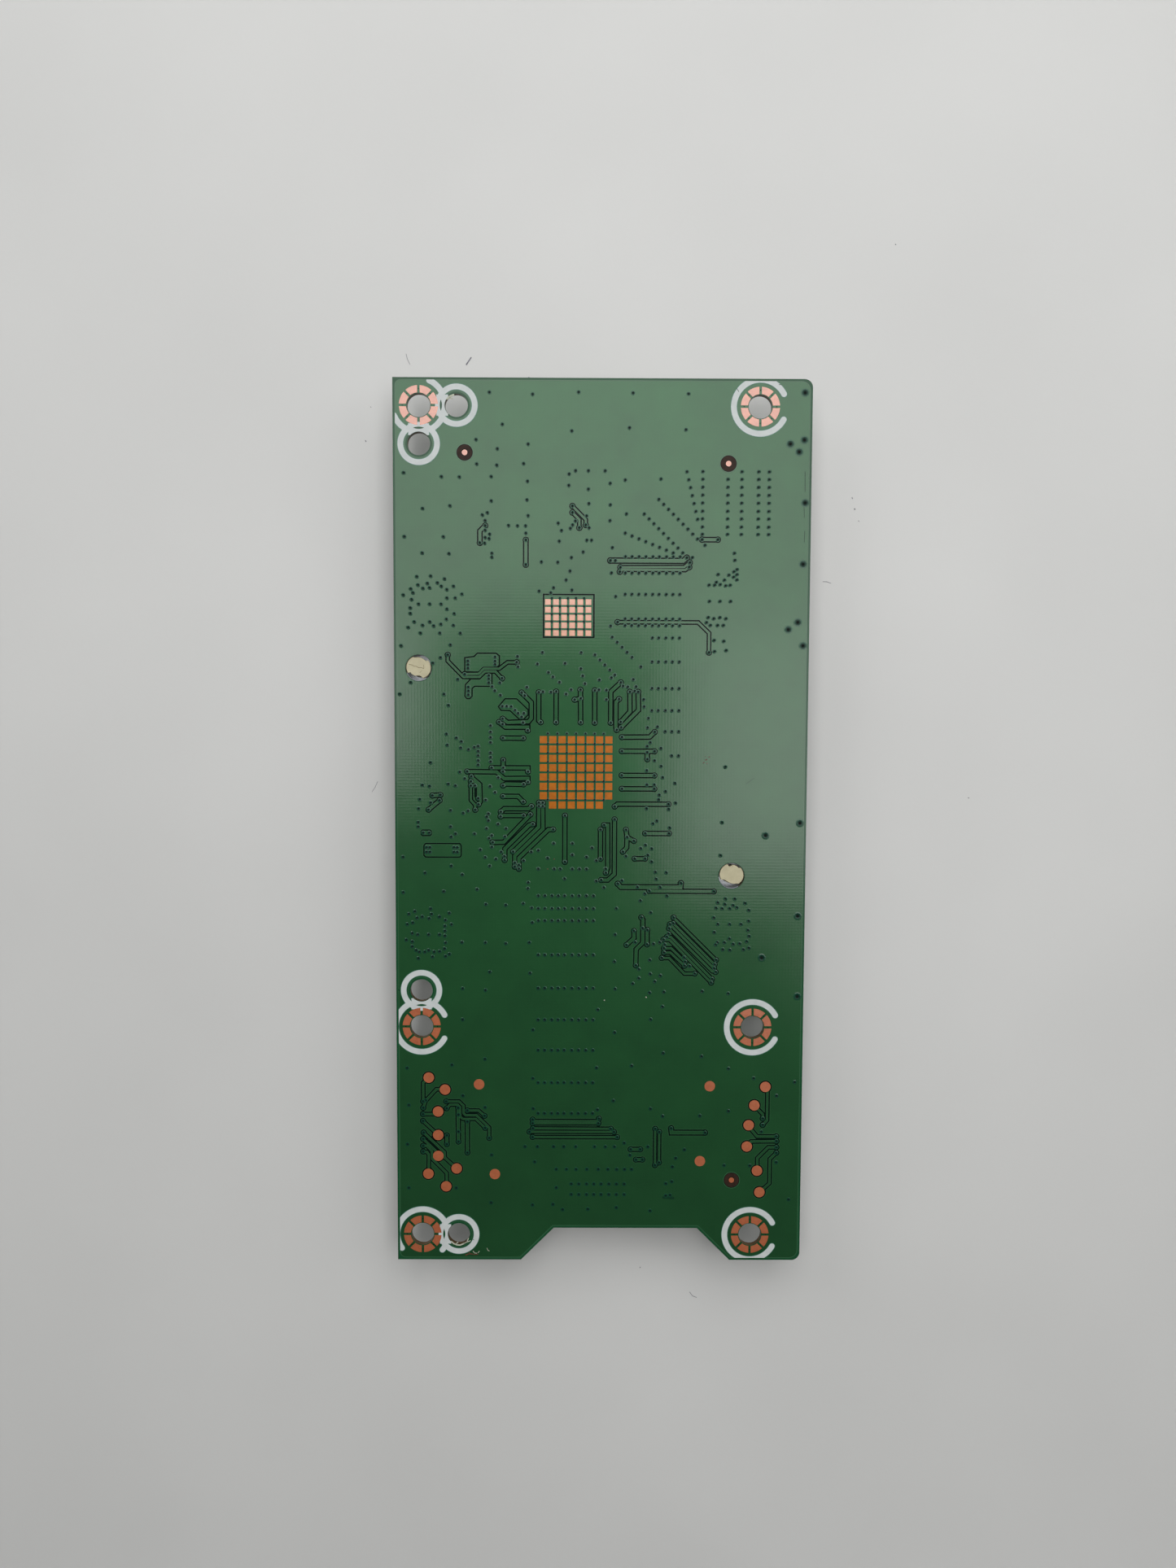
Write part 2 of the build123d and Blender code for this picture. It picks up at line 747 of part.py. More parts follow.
def chip_blocks(kind, places, ends):
    """Ceramic blocks of one kind, or the plated caps at their two ends."""
    length, width, height, cap = kind
    with BuildPart() as blocks:
        for place in places:
            with BuildSketch(under_board(*place)):
                if ends:
                    with GridLocations(length - cap, 0, 2, 1):
                        Rectangle(cap, width)
                else:
                    Rectangle(length - 2 * cap, width)
            extrude(amount=height)
    return blocks


# Ceramic capacitors, resistors and the fuse, each with plated end caps
chip_side = controller_size / 2 + decoupling_reach
power_side = power_chip_size / 2 + filter_reach
decoupling_rows = [
    (0, chip_side, decoupling_step, 0),
    (0, -chip_side, decoupling_step, 0),
    (-chip_side, 0, 0, decoupling_step),
]
decoupling_counts = [(decoupling_count, 1), (decoupling_count, 1), (1, decoupling_count)]
filter_rows = [(-power_side, 0, 0, filter_step), (power_side, 0, 0, filter_step)]
filter_counts = [(1, filter_count), (1, filter_count)]
pair_counts = [(1, pair_count)]

large_places = (
    in_rows(power_x, power_y, large_rows_from_power, large_power_row_count)
    + in_rows(controller_x, controller_y, large_rows_from_controller, large_controller_row_count)
)
small_places = (
    in_rows(controller_x, controller_y, decoupling_rows, decoupling_counts)
    + in_rows(power_x, power_y, filter_rows, filter_counts)
    + in_rows(controller_x, controller_y, spare_rows_from_controller, spare_row_count)
    + in_rows(input_x, input_y, [(-input_capacitor_reach, 0, 0, input_pair_step)], pair_counts)
)
resistor_places = (
    in_rows(input_x, input_y, [(-input_resistor_reach, 0, 0, input_pair_step)], pair_counts)
    + in_rows(notch_x, notch_y, [(0, output_resistor_reach, output_pair_step, 0)], [(pair_count, 1)])
    + in_rows(controller_x, controller_y, resistor_rows_from_controller, resistor_controller_row_count)
    + in_rows(power_x, power_y, resistor_rows_from_power, resistor_power_row_count)
)
fuse_places = placed(input_x, input_y, [fuse_from_input])

large_capacitors = chip_blocks(large_capacitor, large_places, False)
large_capacitors.part.label = "large_capacitors"
export_step(large_capacitors.part, "parts/large_capacitors.step")

large_capacitor_caps = chip_blocks(large_capacitor, large_places, True)
large_capacitor_caps.part.label = "large_capacitor_caps"
export_step(large_capacitor_caps.part, "parts/large_capacitor_caps.step")

small_capacitors = chip_blocks(small_capacitor, small_places, False)
small_capacitors.part.label = "small_capacitors"
export_step(small_capacitors.part, "parts/small_capacitors.step")

resistors = chip_blocks(resistor, resistor_places, False)
resistors.part.label = "resistors"
export_step(resistors.part, "parts/resistors.step")

fuse_body = chip_blocks(fuse, fuse_places, False)
fuse_body.part.label = "fuse_body"
export_step(fuse_body.part, "parts/fuse_body.step")

fuse_caps = chip_blocks(fuse, fuse_places, True)
fuse_caps.part.label = "fuse_caps"
export_step(fuse_caps.part, "parts/fuse_caps.step")

# Driver chips
driver_places = placed(notch_x, notch_y, driver_chips_from_notch)
with BuildPart() as driver_chip_bodies:
    for (x, y), size in zip(driver_places, driver_chip_sizes):
        add(leadless_body(x, y, size, driver_chip_height).part)
driver_chip_bodies.part.label = "driver_chip_bodies"
export_step(driver_chip_bodies.part, "parts/driver_chip_bodies.step")

# Memory chip
memory_x = controller_x + memory_from_controller_x
memory_y = controller_y + memory_from_controller_y
memory_chip = moulded_body(memory_x, memory_y, 0, memory_width, memory_length, memory_height,
                           chip_stand_off, lead_thickness, memory_dimple)
memory_chip.part.label = "memory_body"
export_step(memory_chip.part, "parts/memory_body.step")

memory_lead = gull_wing(memory_width / 2, chip_stand_off, memory_height,
                        memory_lead_width, memory_lead_reach, memory_lead_foot)
first_memory_lead = -(memory_lead_count - 1) * memory_lead_pitch / 2
with BuildPart() as memory_leads:
    with Locations(
        *[
            Location((memory_x, memory_y, board_under), (0, 0, side))
            * Location((0, first_memory_lead + index * memory_lead_pitch, 0))
            for side in (0, 180)
            for index in range(memory_lead_count)
        ]
    ):
        add(memory_lead.part)
memory_leads.part.label = "memory_leads"
export_step(memory_leads.part, "parts/memory_leads.step")

# Quartz crystal
crystal_x = controller_x + crystal_from_controller_x
crystal_y = controller_y + crystal_from_controller_y
with BuildPart() as crystal_base:
    with BuildSketch(under_board(crystal_x, crystal_y)):
        Rectangle(crystal_length, crystal_width)
    extrude(amount=crystal_tray)
crystal_base.part.label = "crystal_base"
export_step(crystal_base.part, "parts/crystal_base.step")

with BuildPart() as crystal_cover:
    with BuildSketch(under_board(crystal_x, crystal_y, 0, crystal_tray)):
        Rectangle(crystal_length - 2 * crystal_rim, crystal_width - 2 * crystal_rim)
    extrude(amount=crystal_lid)
crystal_cover.part.label = "crystal_cover"
export_step(crystal_cover.part, "parts/crystal_cover.step")
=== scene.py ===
from itertools import count
from math import cos, hypot, pi, radians, sin

import bmesh
import bpy
from mathutils import Matrix, Vector


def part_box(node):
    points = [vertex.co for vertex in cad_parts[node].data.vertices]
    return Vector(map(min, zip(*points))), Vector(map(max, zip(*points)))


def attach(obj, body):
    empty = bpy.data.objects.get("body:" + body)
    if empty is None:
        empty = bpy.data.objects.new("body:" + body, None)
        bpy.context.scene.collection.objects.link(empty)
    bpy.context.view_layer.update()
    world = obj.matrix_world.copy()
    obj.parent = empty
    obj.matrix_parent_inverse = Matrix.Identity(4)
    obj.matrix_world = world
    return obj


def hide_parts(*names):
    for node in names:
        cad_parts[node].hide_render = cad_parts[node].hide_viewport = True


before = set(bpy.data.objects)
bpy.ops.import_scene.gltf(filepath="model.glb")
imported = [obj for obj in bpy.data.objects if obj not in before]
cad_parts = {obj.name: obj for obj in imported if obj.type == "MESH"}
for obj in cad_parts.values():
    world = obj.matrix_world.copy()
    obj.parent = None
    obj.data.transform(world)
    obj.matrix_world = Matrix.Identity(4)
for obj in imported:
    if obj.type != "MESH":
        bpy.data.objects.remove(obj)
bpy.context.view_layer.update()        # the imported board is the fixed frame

mm = 0.001
boardFaces = {"top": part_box("pcb")[1].z / mm, "under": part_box("pcb")[0].z / mm}
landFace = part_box("screw_lands")[1].z / mm

# Heights of the thin layers on the solder side, above the laminate
layers = {
    "pour": 0.016, "rim": 0.018, "halo": 0.020, "clearance": 0.025, "edge": 0.030, "core": 0.035,
    "ink": 0.052, "viaFloor": 0.041, "viaFoot": 0.040, "viaTop": 0.056, "step": 0.0008, "steps": 6,
}

# Where the holes are, in board millimetres
holes = {
    "screw": [(x, y) for x in (-32.85, 28.15) for y in (75.9, -36.6, -75.9)],
    "screwRadius": 2.1,
    "spare": [(-26.1, 75.9), (-32.85, 69.15), (-32.85, -29.85), (-26.1, -75.9)],
    "spareRadius": 2.05,
    "pin": [(-33.05, 29.25), (23.95, -8.45)],
    "pinRadius": 2.375,
}

print("helpers")


def linear(hexColour):
    # sRGB hex to the linear values that the shaders take
    parts = [int(hexColour[i:i + 2], 16) / 255 for i in (1, 3, 5)]
    return [c / 12.92 if c <= 0.04045 else ((c + 0.055) / 1.055) ** 2.4 for c in parts] + [1.0]


def addNode(tree, kind, values=None, **settings):
    made = tree.nodes.new("ShaderNode" + kind)
    for name, value in settings.items():
        setattr(made, name, value)
    for name, value in (values or {}).items():
        if isinstance(value, bpy.types.NodeSocket):
            tree.links.new(value, made.inputs[name])
        else:
            made.inputs[name].default_value = value
    return made


def startMaterial(name):
    material = bpy.data.materials.new(name)
    material.use_nodes = True
    tree = material.node_tree
    tree.nodes.clear()
    place = addNode(tree, "TexCoord")
    return material, tree, place.outputs["Object"]


def endMaterial(tree, colour, roughness, height=None, depth=0.0, **sockets):
    # Principled surface with an optional bump, whose depth is in metres
    values = {"Base Color": colour, "Roughness": roughness}
    values.update({key.replace("_", " "): value for key, value in sockets.items()})
    if height is not None:
        bump = addNode(tree, "Bump", {"Height": height, "Strength": 1.0, "Distance": depth})
        values["Normal"] = bump.outputs["Normal"]
        if "Coat_Weight" in sockets:
            values["Coat Normal"] = bump.outputs["Normal"]
    surface = addNode(tree, "BsdfPrincipled", values)
    addNode(tree, "OutputMaterial", {"Surface": surface.outputs["BSDF"]})


def blendColours(tree, share, low, high, start=0.3, end=0.7):
    ramp = addNode(tree, "ValToRGB", {"Fac": share})
    ramp.color_ramp.elements[0].position = start
    ramp.color_ramp.elements[0].color = linear(low)
    ramp.color_ramp.elements[1].position = end
    ramp.color_ramp.elements[1].color = linear(high)
    return ramp.outputs["Color"]


def noise(tree, place, size, detail=3.0, roughness=0.5):
    # size is how wide the blotches are, in millimetres
    made = addNode(tree, "TexNoise", {"Vector": place, "Scale": 1 / (size * mm), "Detail": detail,
                                      "Roughness": roughness})
    return made.outputs["Fac"]


def rangeOf(tree, value, low, high):
    made = addNode(tree, "MapRange", {"Value": value, "To Min": low, "To Max": high})
    return made.outputs["Result"]


def plainMaterial(name, low, high, blotch, roughness, grain, depth, **sockets):
    # A moulded, cast or printed surface: two close shades in soft blotches, and a fine grain
    material, tree, place = startMaterial(name)
    shade = blendColours(tree, noise(tree, place, blotch), low, high)
    rough = rangeOf(tree, noise(tree, place, 3 * grain), roughness * 0.85, roughness * 1.15)
    endMaterial(tree, shade, rough, noise(tree, place, grain, 4.0), depth * mm, **sockets)
    return material


print("materials of the bare board")

# Solder mask, a glossy green epoxy coat. Over copper it is paler than over bare laminate
maskLook = {
    "overCopper": ("#1d4c2a", "#20522d"), "overLaminate": ("#17462a", "#1a4c2e"),
    "sunk": ("#04130d", "#061910"), "edge": ("#2d5738", "#345f40"), "roughness": 0.45, "gloss": 0.165,
    "weave": 0.55, "weaveDepth": 0.00055, "blotch": 9.0, "hump": 6.0, "humpDepth": 0.012,
}


def maskMaterial(name, low, high, metal=0.0, gloss=1.0):
    # A clear glossy skin over green; where copper lies under it, some light comes back off the metal
    material, tree, place = startMaterial(name)
    shade = blendColours(tree, noise(tree, place, maskLook["blotch"], 4.0), low, high)
    parts = addNode(tree, "SeparateXYZ", {"Vector": place})
    threads = []
    for axis in ("X", "Y"):     # the glass cloth's threads show through as a faint grid
        turns = addNode(tree, "Math", {0: parts.outputs[axis], 1: 2 * pi / (maskLook["weave"] * mm)},
                        operation="MULTIPLY")
        threads.append(addNode(tree, "Math", {0: turns.outputs[0]}, operation="SINE").outputs[0])
    weave = addNode(tree, "Math", {0: threads[0], 1: threads[1]}, operation="ADD").outputs[0]
    weave = addNode(tree, "Math", {0: weave, 1: maskLook["weaveDepth"] * mm}, operation="MULTIPLY")
    hump = addNode(tree, "Math", {0: noise(tree, place, maskLook["hump"], 2.0),
                                  1: maskLook["humpDepth"] * mm}, operation="MULTIPLY")
    height = addNode(tree, "Math", {0: weave.outputs[0], 1: hump.outputs[0]}, operation="ADD")
    rough = rangeOf(tree, noise(tree, place, 2.5, 4.0), maskLook["roughness"] * 0.85,
                    maskLook["roughness"] * 1.15)
    endMaterial(tree, shade, rough, height.outputs[0], 1.0, Metallic=metal, Specular_IOR_Level=0.0,
                Coat_Weight=gloss, Coat_Roughness=maskLook["gloss"], Coat_IOR=1.5)
    return material, tree


maskOverCopper = maskMaterial("solder mask over copper", *maskLook["overCopper"], metal=0.5)[0]
maskOverLaminate = maskMaterial("solder mask over laminate", *maskLook["overLaminate"], gloss=0.6)[0]
# Near black between copper: mask over bare laminate, darkened further by painted shade of the groove it sinks
# into
maskInGapsShaded = maskMaterial("solder mask between copper, painted groove shade", *maskLook["sunk"], gloss=0.22)[0]
# Pale olive on copper and its edges: thin mask, with a painted glint off the mask's slope at the edges
paleMaskAndGlint = maskMaterial("thin solder mask on copper, painted glint at its edges", *maskLook["edge"])[0]

# The board: mask on its faces, sawn glass epoxy on its edges and in its holes
laminateLook = {"sawn": ("#4a3a2a", "#6d5a40"), "band": 0.12, "roughness": 0.75}


def boardMaterial():
    material, tree = maskMaterial("circuit board", *maskLook["overLaminate"], gloss=0.6)
    place = [n for n in tree.nodes if n.bl_idname == "ShaderNodeTexCoord"][0]
    facing = addNode(tree, "SeparateXYZ", {"Vector": place.outputs["Normal"]})
    up = addNode(tree, "Math", {0: facing.outputs["Z"]}, operation="ABSOLUTE")
    isFace = addNode(tree, "Math", {0: up.outputs[0], 1: 0.5}, operation="GREATER_THAN").outputs[0]
    stretch = addNode(tree, "Mapping", {"Vector": place.outputs["Object"], "Scale": (1, 1, 8)})
    sawn = blendColours(tree, noise(tree, stretch.outputs["Vector"], laminateLook["band"] * 8, 3.0),
                        *laminateLook["sawn"])
    surface = [n for n in tree.nodes if n.bl_idname == "ShaderNodeBsdfPrincipled"][0]
    maskShade = surface.inputs["Base Color"].links[0].from_socket
    maskRough = surface.inputs["Roughness"].links[0].from_socket
    mix = addNode(tree, "Mix", {"Factor": isFace, 6: sawn, 7: maskShade}, data_type="RGBA")
    rough = addNode(tree, "MapRange", {"Value": isFace, "To Min": laminateLook["roughness"],
                                       "To Max": maskRough})
    tree.links.new(mix.outputs[2], surface.inputs["Base Color"])
    tree.links.new(rough.outputs["Result"], surface.inputs["Roughness"])
    return material


boardSkin = boardMaterial()

# Bare copper with its thin clear organic coat: salmon metal, a little blotched. Heat has turned the
# controller's grid orange. The power chip's grid is painted paler, with a stronger coat: a painted reflection
# of the ceiling light
copperLook = {"clean": ("#c67041", "#cf7b4b"), "toned": ("#b96d04", "#c37708"),
              "power": ("#ce8148", "#d78b52"), "roughness": 0.75}


def copperMaterial(name, low, high, coat=2.2):
    material, tree, place = startMaterial(name)
    shade = blendColours(tree, noise(tree, place, 1.2, 4.0), low, high)
    rough = rangeOf(tree, noise(tree, place, 0.5), copperLook["roughness"] * 0.85,
                    copperLook["roughness"] * 1.15)
    endMaterial(tree, shade, rough, noise(tree, place, 0.12), 0.004 * mm, Metallic=1.0, Coat_Weight=1.0,
                Coat_Roughness=0.25, Coat_IOR=coat)
    return material


bareCopper = copperMaterial("bare copper", *copperLook["clean"])
tonedCopper = copperMaterial("bare copper toned by heat", *copperLook["toned"], coat=1.4)
litPowerCopper = copperMaterial("bare copper behind the power chip", *copperLook["power"], coat=2.4)

whiteInk = plainMaterial("white epoxy ink", "#bcc2c1", "#c6cbca", 1.5, 0.55, 0.15, 0.004, IOR=1.5)
# Teal at the print's edges: partly thin ink, partly a painted sheen of the mask's edge
inkShade = maskMaterial("thin ink and painted sheen at the print's edges", "#40705f", "#487a68")[0]
bareLaminate = plainMaterial("bare laminate in the optical marks", "#2a1c15", "#35241b", 0.7, 0.5,
                             0.2, 0.004, IOR=1.25)
# Vias: the dimple's shade is painted into these three colours, darkest at the centre
viaPlugShade = plainMaterial("painted shade in a via's pit", "#040d09", "#07140e", 0.3, 0.6, 0.1, 0.002, IOR=1.2)
viaRingShade = maskMaterial("mask round a via, painted dimple shade", "#0b3226", "#0f3a2c", gloss=0.3)[0]
viaFoot = maskMaterial("mask at the foot of a via, faint painted dimple shade", "#174630", "#1a4c33", metal=0.3, gloss=0.8)[0]


def paint(nodeName, *materials):
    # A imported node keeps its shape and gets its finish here
    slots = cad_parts[nodeName].data.materials
    slots.clear()
    for material in materials:
        slots.append(material)


def finishPiece(name, body, bm, materials, replaced=()):
    mesh = bpy.data.meshes.new(name)
    bm.to_mesh(mesh)
    bm.free()
    for material in materials:
        mesh.materials.append(material)
    piece = bpy.data.objects.new(name, mesh)
    bpy.context.scene.collection.objects.link(piece)
    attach(piece, body)
    if replaced:
        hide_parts(*replaced)


def join(bm, part):
    # Adds a finished small shape to the piece it belongs to
    bmesh.ops.recalc_face_normals(part, faces=part.faces)
    mesh = bpy.data.meshes.new("part")
    part.to_mesh(mesh)
    part.free()
    bm.from_mesh(mesh)
    bpy.data.meshes.remove(mesh)


def thicken(bm, faces, low, high):
    # Flat faces at any height become a slab from low to high, in millimetres
    for vertex in {v for f in faces for v in f.verts}:
        vertex.co.z = low * mm
    grown = bmesh.ops.extrude_face_region(bm, geom=faces, use_keep_orig=True)["geom"]
    for vertex in [g for g in grown if isinstance(g, bmesh.types.BMVert)]:
        vertex.co.z = high * mm


def roundEnd(bm, edge, centre, outward, sides):
    # Closes a strip's open end with a half disc spun from half of its end edge
    halves = bmesh.ops.subdivide_edges(bm, edges=[edge], cuts=1)["geom_inner"]
    middle = [g for g in halves if isinstance(g, bmesh.types.BMVert)][0]
    middle.co = centre
    half = middle.link_edges[0] if middle.link_edges[0].other_vert(middle) in edge.verts else None
    half = half or middle.link_edges[0]
    tip = half.other_vert(middle).co - centre
    turn = pi if tip.cross(outward).z > 0 else -pi
    spun = bmesh.ops.spin(bm, geom=[half, *half.verts], cent=centre, axis=(0, 0, 1), dvec=(0, 0, 0),
                          angle=turn, steps=sides, use_duplicate=False)
    return spun


def strip(bm, points, width, low, high, roundSides=6, closed=False):
    # A slab of constant width along a route in millimetres, mitred at its corners, round at its ends
    route = [Vector((x * mm, y * mm, 0)) for x, y in points + points[:closed]]
    runs = [(b - a).normalized() for a, b in zip(route, route[1:])]
    across = [Vector((-run.y, run.x, 0)) for run in runs]
    sides = []
    for i, spot in enumerate(route):
        before, after = across[max(i - 1, 0)], across[min(i, len(across) - 1)]
        if closed and i in (0, len(route) - 1):
            before, after = across[-1], across[0]
        middle = (before + after).normalized()
        reach = middle * width / 2 * mm / max(0.35, middle.dot(after))
        sides.append((spot + reach, spot - reach))
    part = bmesh.new()
    leftVert, rightVert = (part.verts.new(spot) for spot in sides[0])
    firstEdge = edge = part.edges.new((leftVert, rightVert))
    for leftSpot, rightSpot in sides[1:]:
        oldLeft = leftVert.co.copy()
        grown = bmesh.ops.extrude_edge_only(part, edges=[edge])["geom"]
        newVerts = [g for g in grown if isinstance(g, bmesh.types.BMVert)]
        newVerts.sort(key=lambda v: (v.co - oldLeft).length)
        leftVert, rightVert = newVerts
        edge = [e for e in leftVert.link_edges if e.other_vert(leftVert) is rightVert][0]
        leftVert.co, rightVert.co = leftSpot, rightSpot
    if roundSides and not closed:
        roundEnd(part, firstEdge, route[0], -runs[0], roundSides)
        roundEnd(part, edge, route[-1], runs[-1], roundSides)
    bmesh.ops.remove_doubles(part, verts=part.verts, dist=1e-7)
    thicken(part, part.faces[:], low, high)
    join(bm, part)


def disc(bm, x, y, radius, low, high, sides=24):
    part = bmesh.new()
    spot = Matrix.Translation((x * mm, y * mm, 0))
    bmesh.ops.create_circle(part, cap_ends=True, segments=sides, radius=radius * mm, matrix=spot)
    thicken(part, part.faces[:], low, high)
    join(bm, part)


def loopEdges(bm, points):
    verts = [bm.verts.new((x * mm, y * mm, 0)) for x, y in points]
    return [bm.edges.new(pair) for pair in zip(verts, verts[1:] + verts[:1])]


def filled(bm, loops, low, high):
    # A slab with holes: the first loop is its outline, the others are cut out of it
    part = bmesh.new()
    edges = [edge for points in loops for edge in loopEdges(part, points)]
    bmesh.ops.triangle_fill(part, use_beauty=True, use_dissolve=False, edges=edges)
    thicken(part, part.faces[:], low, high)
    join(bm, part)


def arc(x, y, radius, start, end, steps):
    # Points along an arc, from one angle to another in degrees
    angles = [radians(start + (end - start) * i / steps) for i in range(steps + 1)]
    return [(x + radius * cos(a), y + radius * sin(a)) for a in angles]


def ring(x, y, radius, sides):
    # Points evenly spaced round a circle
    return arc(x, y, radius, 0, 360 - 360 / sides, sides - 1)


top = boardFaces["top"]

print("copper pour")

# The pour stops short of the board's edge, and its inside corners are round
pourSize = {
    "inset": 0.45, "corner": 1.0, "rightCorner": 1.5, "half": (37.5, 80.8),
    "notchTop": -74.7, "notchLeft": -8.45, "notchRight": 18.26, "flare": 6.1,
    "screwGap": 0.1, "spareClear": 2.45, "pinGap": 0.12, "holeSides": 45, "rim": 0.14, "spareRim": 0.1,
    "slope": 0.41,
}


def pourOutline():
    size = pourSize
    x, y = size["half"][0] - size["inset"], size["half"][1] - size["inset"]
    r, q = size["corner"], size["rightCorner"]
    notch = size["notchTop"] + size["inset"]
    shift = size["inset"] * size["slope"]
    lowLeft = size["notchLeft"] - size["flare"] - shift
    lowRight = size["notchRight"] + size["flare"] + shift
    points = arc(-x + r, y - r, r, 180, 90, 6) + arc(x - q, y - q, q, 90, 0, 8)
    points += arc(x - q, -y + q, q, 0, -90, 8)
    points += [(lowRight, -y), (size["notchRight"] + shift, notch)]
    points += [(size["notchLeft"] - shift, notch), (lowLeft, -y)]
    return points + arc(-x + r, -y + r, r, -90, -180, 6)


def pourOpenings():
    radii = {"spare": pourSize["spareClear"], "pin": holes["pinRadius"] + pourSize["pinGap"],
             "screw": holes["screwRadius"] + pourSize["screwGap"]}
    return [ring(x, y, radius, pourSize["holeSides"])
            for kind, radius in radii.items() for x, y in holes[kind]]


shape = bmesh.new()
filled(shape, [pourOutline()] + pourOpenings(), top, top + layers["pour"])
finishPiece("copper_pour", "board", shape, [maskOverCopper])

paint("pcb", boardSkin)

# The pour's edge shows as an olive line: the mask is thinnest there, and a glint off its slope is painted in
shape = bmesh.new()
strip(shape, pourOutline(), pourSize["rim"], top, top + layers["rim"], closed=True)
for x, y in holes["spare"]:
    strip(shape, ring(x, y, pourSize["spareClear"], pourSize["holeSides"]), pourSize["spareRim"], top,
          top + layers["rim"], closed=True)
finishPiece("pour_rim", "board", shape, [paleMaskAndGlint])

print("traces")

# Routes of the traces in board millimetres. Each starts and ends in a via, unless it ends on a land
traceSize = {
    "wide": 0.66, "plain": 0.54, "narrow": 0.38, "toLand": 0.42, "gap": 0.26, "edge": 0.06, "halo": 0.06,
    "endGrow": 0.04, "endRadius": 0.34, "landEndRadius": 0.36, "endSides": 14,
}
wideTraces = [
    [(1.5, 48.6), (14.6, 48.6), (15.25, 49.15)],
    [(13.3, -55.7), (13.4, -56.5), (19.6, -56.5)],
    [(3.15, -10.0), (3.75, -10.6), (14.65, -10.6), (14.7, -9.85)],
]
plainTraces = [
    [(-21.0, 54.7), (-21.95, 53.75), (-21.95, 51.65)],
    [(-13.7, 52.2), (-13.7, 47.8)],
    [(17.95, 52.4), (20.8, 52.4)],
    [(-11.35, 24.9), (-11.35, 19.8), (-11.0, 19.5)],
    [(-8.2, 25.05), (-8.2, 19.5)],
    [(-3.8, 25.4), (-3.75, 19.5)], [(-3.75, 23.85), (-4.85, 23.6)],
    [(-1.2, 25.3), (-1.2, 19.45)],
    [(3.5, 26.75), (1.7, 25.1), (1.7, 19.45)],
    [(3.2, 23.75), (2.65, 23.2), (2.65, 18.6), (2.8, 18.15)],
    [(5.15, 25.05), (5.2, 21.5), (3.5, 19.6)],
    [(6.65, 25.05), (6.75, 21.8), (3.6, 18.6)],
    [(-14.45, 24.85), (-12.7, 23.1), (-12.7, 20.2), (-13.2, 19.6), (-17.0, 19.45), (-17.9, 20.1)],
    [(-18.55, 19.5), (-17.4, 18.6), (-13.35, 18.6), (-13.35, 18.0)],
    [(-17.85, 16.6), (-14.15, 16.6)],
    [(-19.9, 11.2), (-13.3, 11.2), (-13.3, 10.5)], [(-17.8, 11.2), (-17.8, 12.6)],
    [(-24.35, 10.5), (-19.0, 10.45), (-17.6, 9.25), (-13.3, 9.3), (-13.3, 8.6)],
    [(-17.85, 7.95), (-17.3, 8.25), (-14.1, 8.2)],
    [(-17.85, 6.0), (-15.1, 6.0), (-14.15, 5.0)],
    [(-18.25, 3.15), (-17.6, 3.75), (-13.2, 3.75), (-12.65, 4.2)],
    [(-18.3, 2.3), (-17.8, 2.5), (-14.1, 2.5)],
    [(-12.85, 2.7), (-17.7, -2.4), (-19.75, -2.45)],
    [(-12.4, 0.9), (-13.1, 0.75), (-17.5, -3.6), (-17.55, -5.7)],
    [(-11.3, 4.85), (-11.35, 0.4), (-16.0, -4.15)],
    [(-10.6, 4.85), (-10.55, 0.1), (-15.7, -4.9), (-15.7, -6.9)],
    [(-8.7, -0.05), (-9.55, -0.05), (-14.95, -5.3), (-14.95, -7.3)],
    [(-6.55, 2.5), (-6.55, -6.0)],
    [(3.75, 16.85), (8.8, 16.9), (9.7, 17.8)],
    [(3.75, 14.3), (9.7, 14.3)], [(8.35, 14.1), (8.4, 12.85)],
    [(3.75, 9.9), (9.7, 9.9)],
    [(3.8, 7.45), (9.7, 7.45)],
    [(2.5, 4.2), (3.0, 4.65), (12.3, 4.65)],
    [(8.1, -0.7), (12.45, -0.7)],
    [(2.5, 1.85), (2.5, -8.2), (1.3, -9.3), (0.1, -9.3)],
    [(0.6, 0.8), (1.25, 0.8), (1.3, -7.0), (0.95, -8.0)],
    [(-0.05, -0.05), (-0.05, -5.4)],
    [(4.6, -0.05), (4.8, -1.4), (4.75, -3.3), (4.05, -4.1)], [(4.8, -1.4), (6.05, -2.1)],
    [(6.2, -5.35), (8.1, -5.35)],
    [(8.9, -11.3), (20.75, -11.35)],
    [(6.15, -18.7), (6.2, -20.0), (4.8, -21.3)],
    [(7.5, -16.2), (7.8, -16.6), (7.8, -20.9), (6.6, -22.1), (6.55, -25.1)],
    [(8.6, -18.5), (8.6, -21.2)],
    [(-30.7, 6.1), (-29.25, 6.2)], [(-29.4, 5.2), (-31.4, 3.5)],
    [(5.8, -59.7), (7.6, -59.7)], [(6.8, -61.65), (8.0, -61.65)],
    [(-28.3, -57.1), (-28.3, -58.8)],
    [(-24.5, -54.5), (-24.5, -60.4)],
    [(-26.2, -51.9), (-26.15, -58.3)],
]
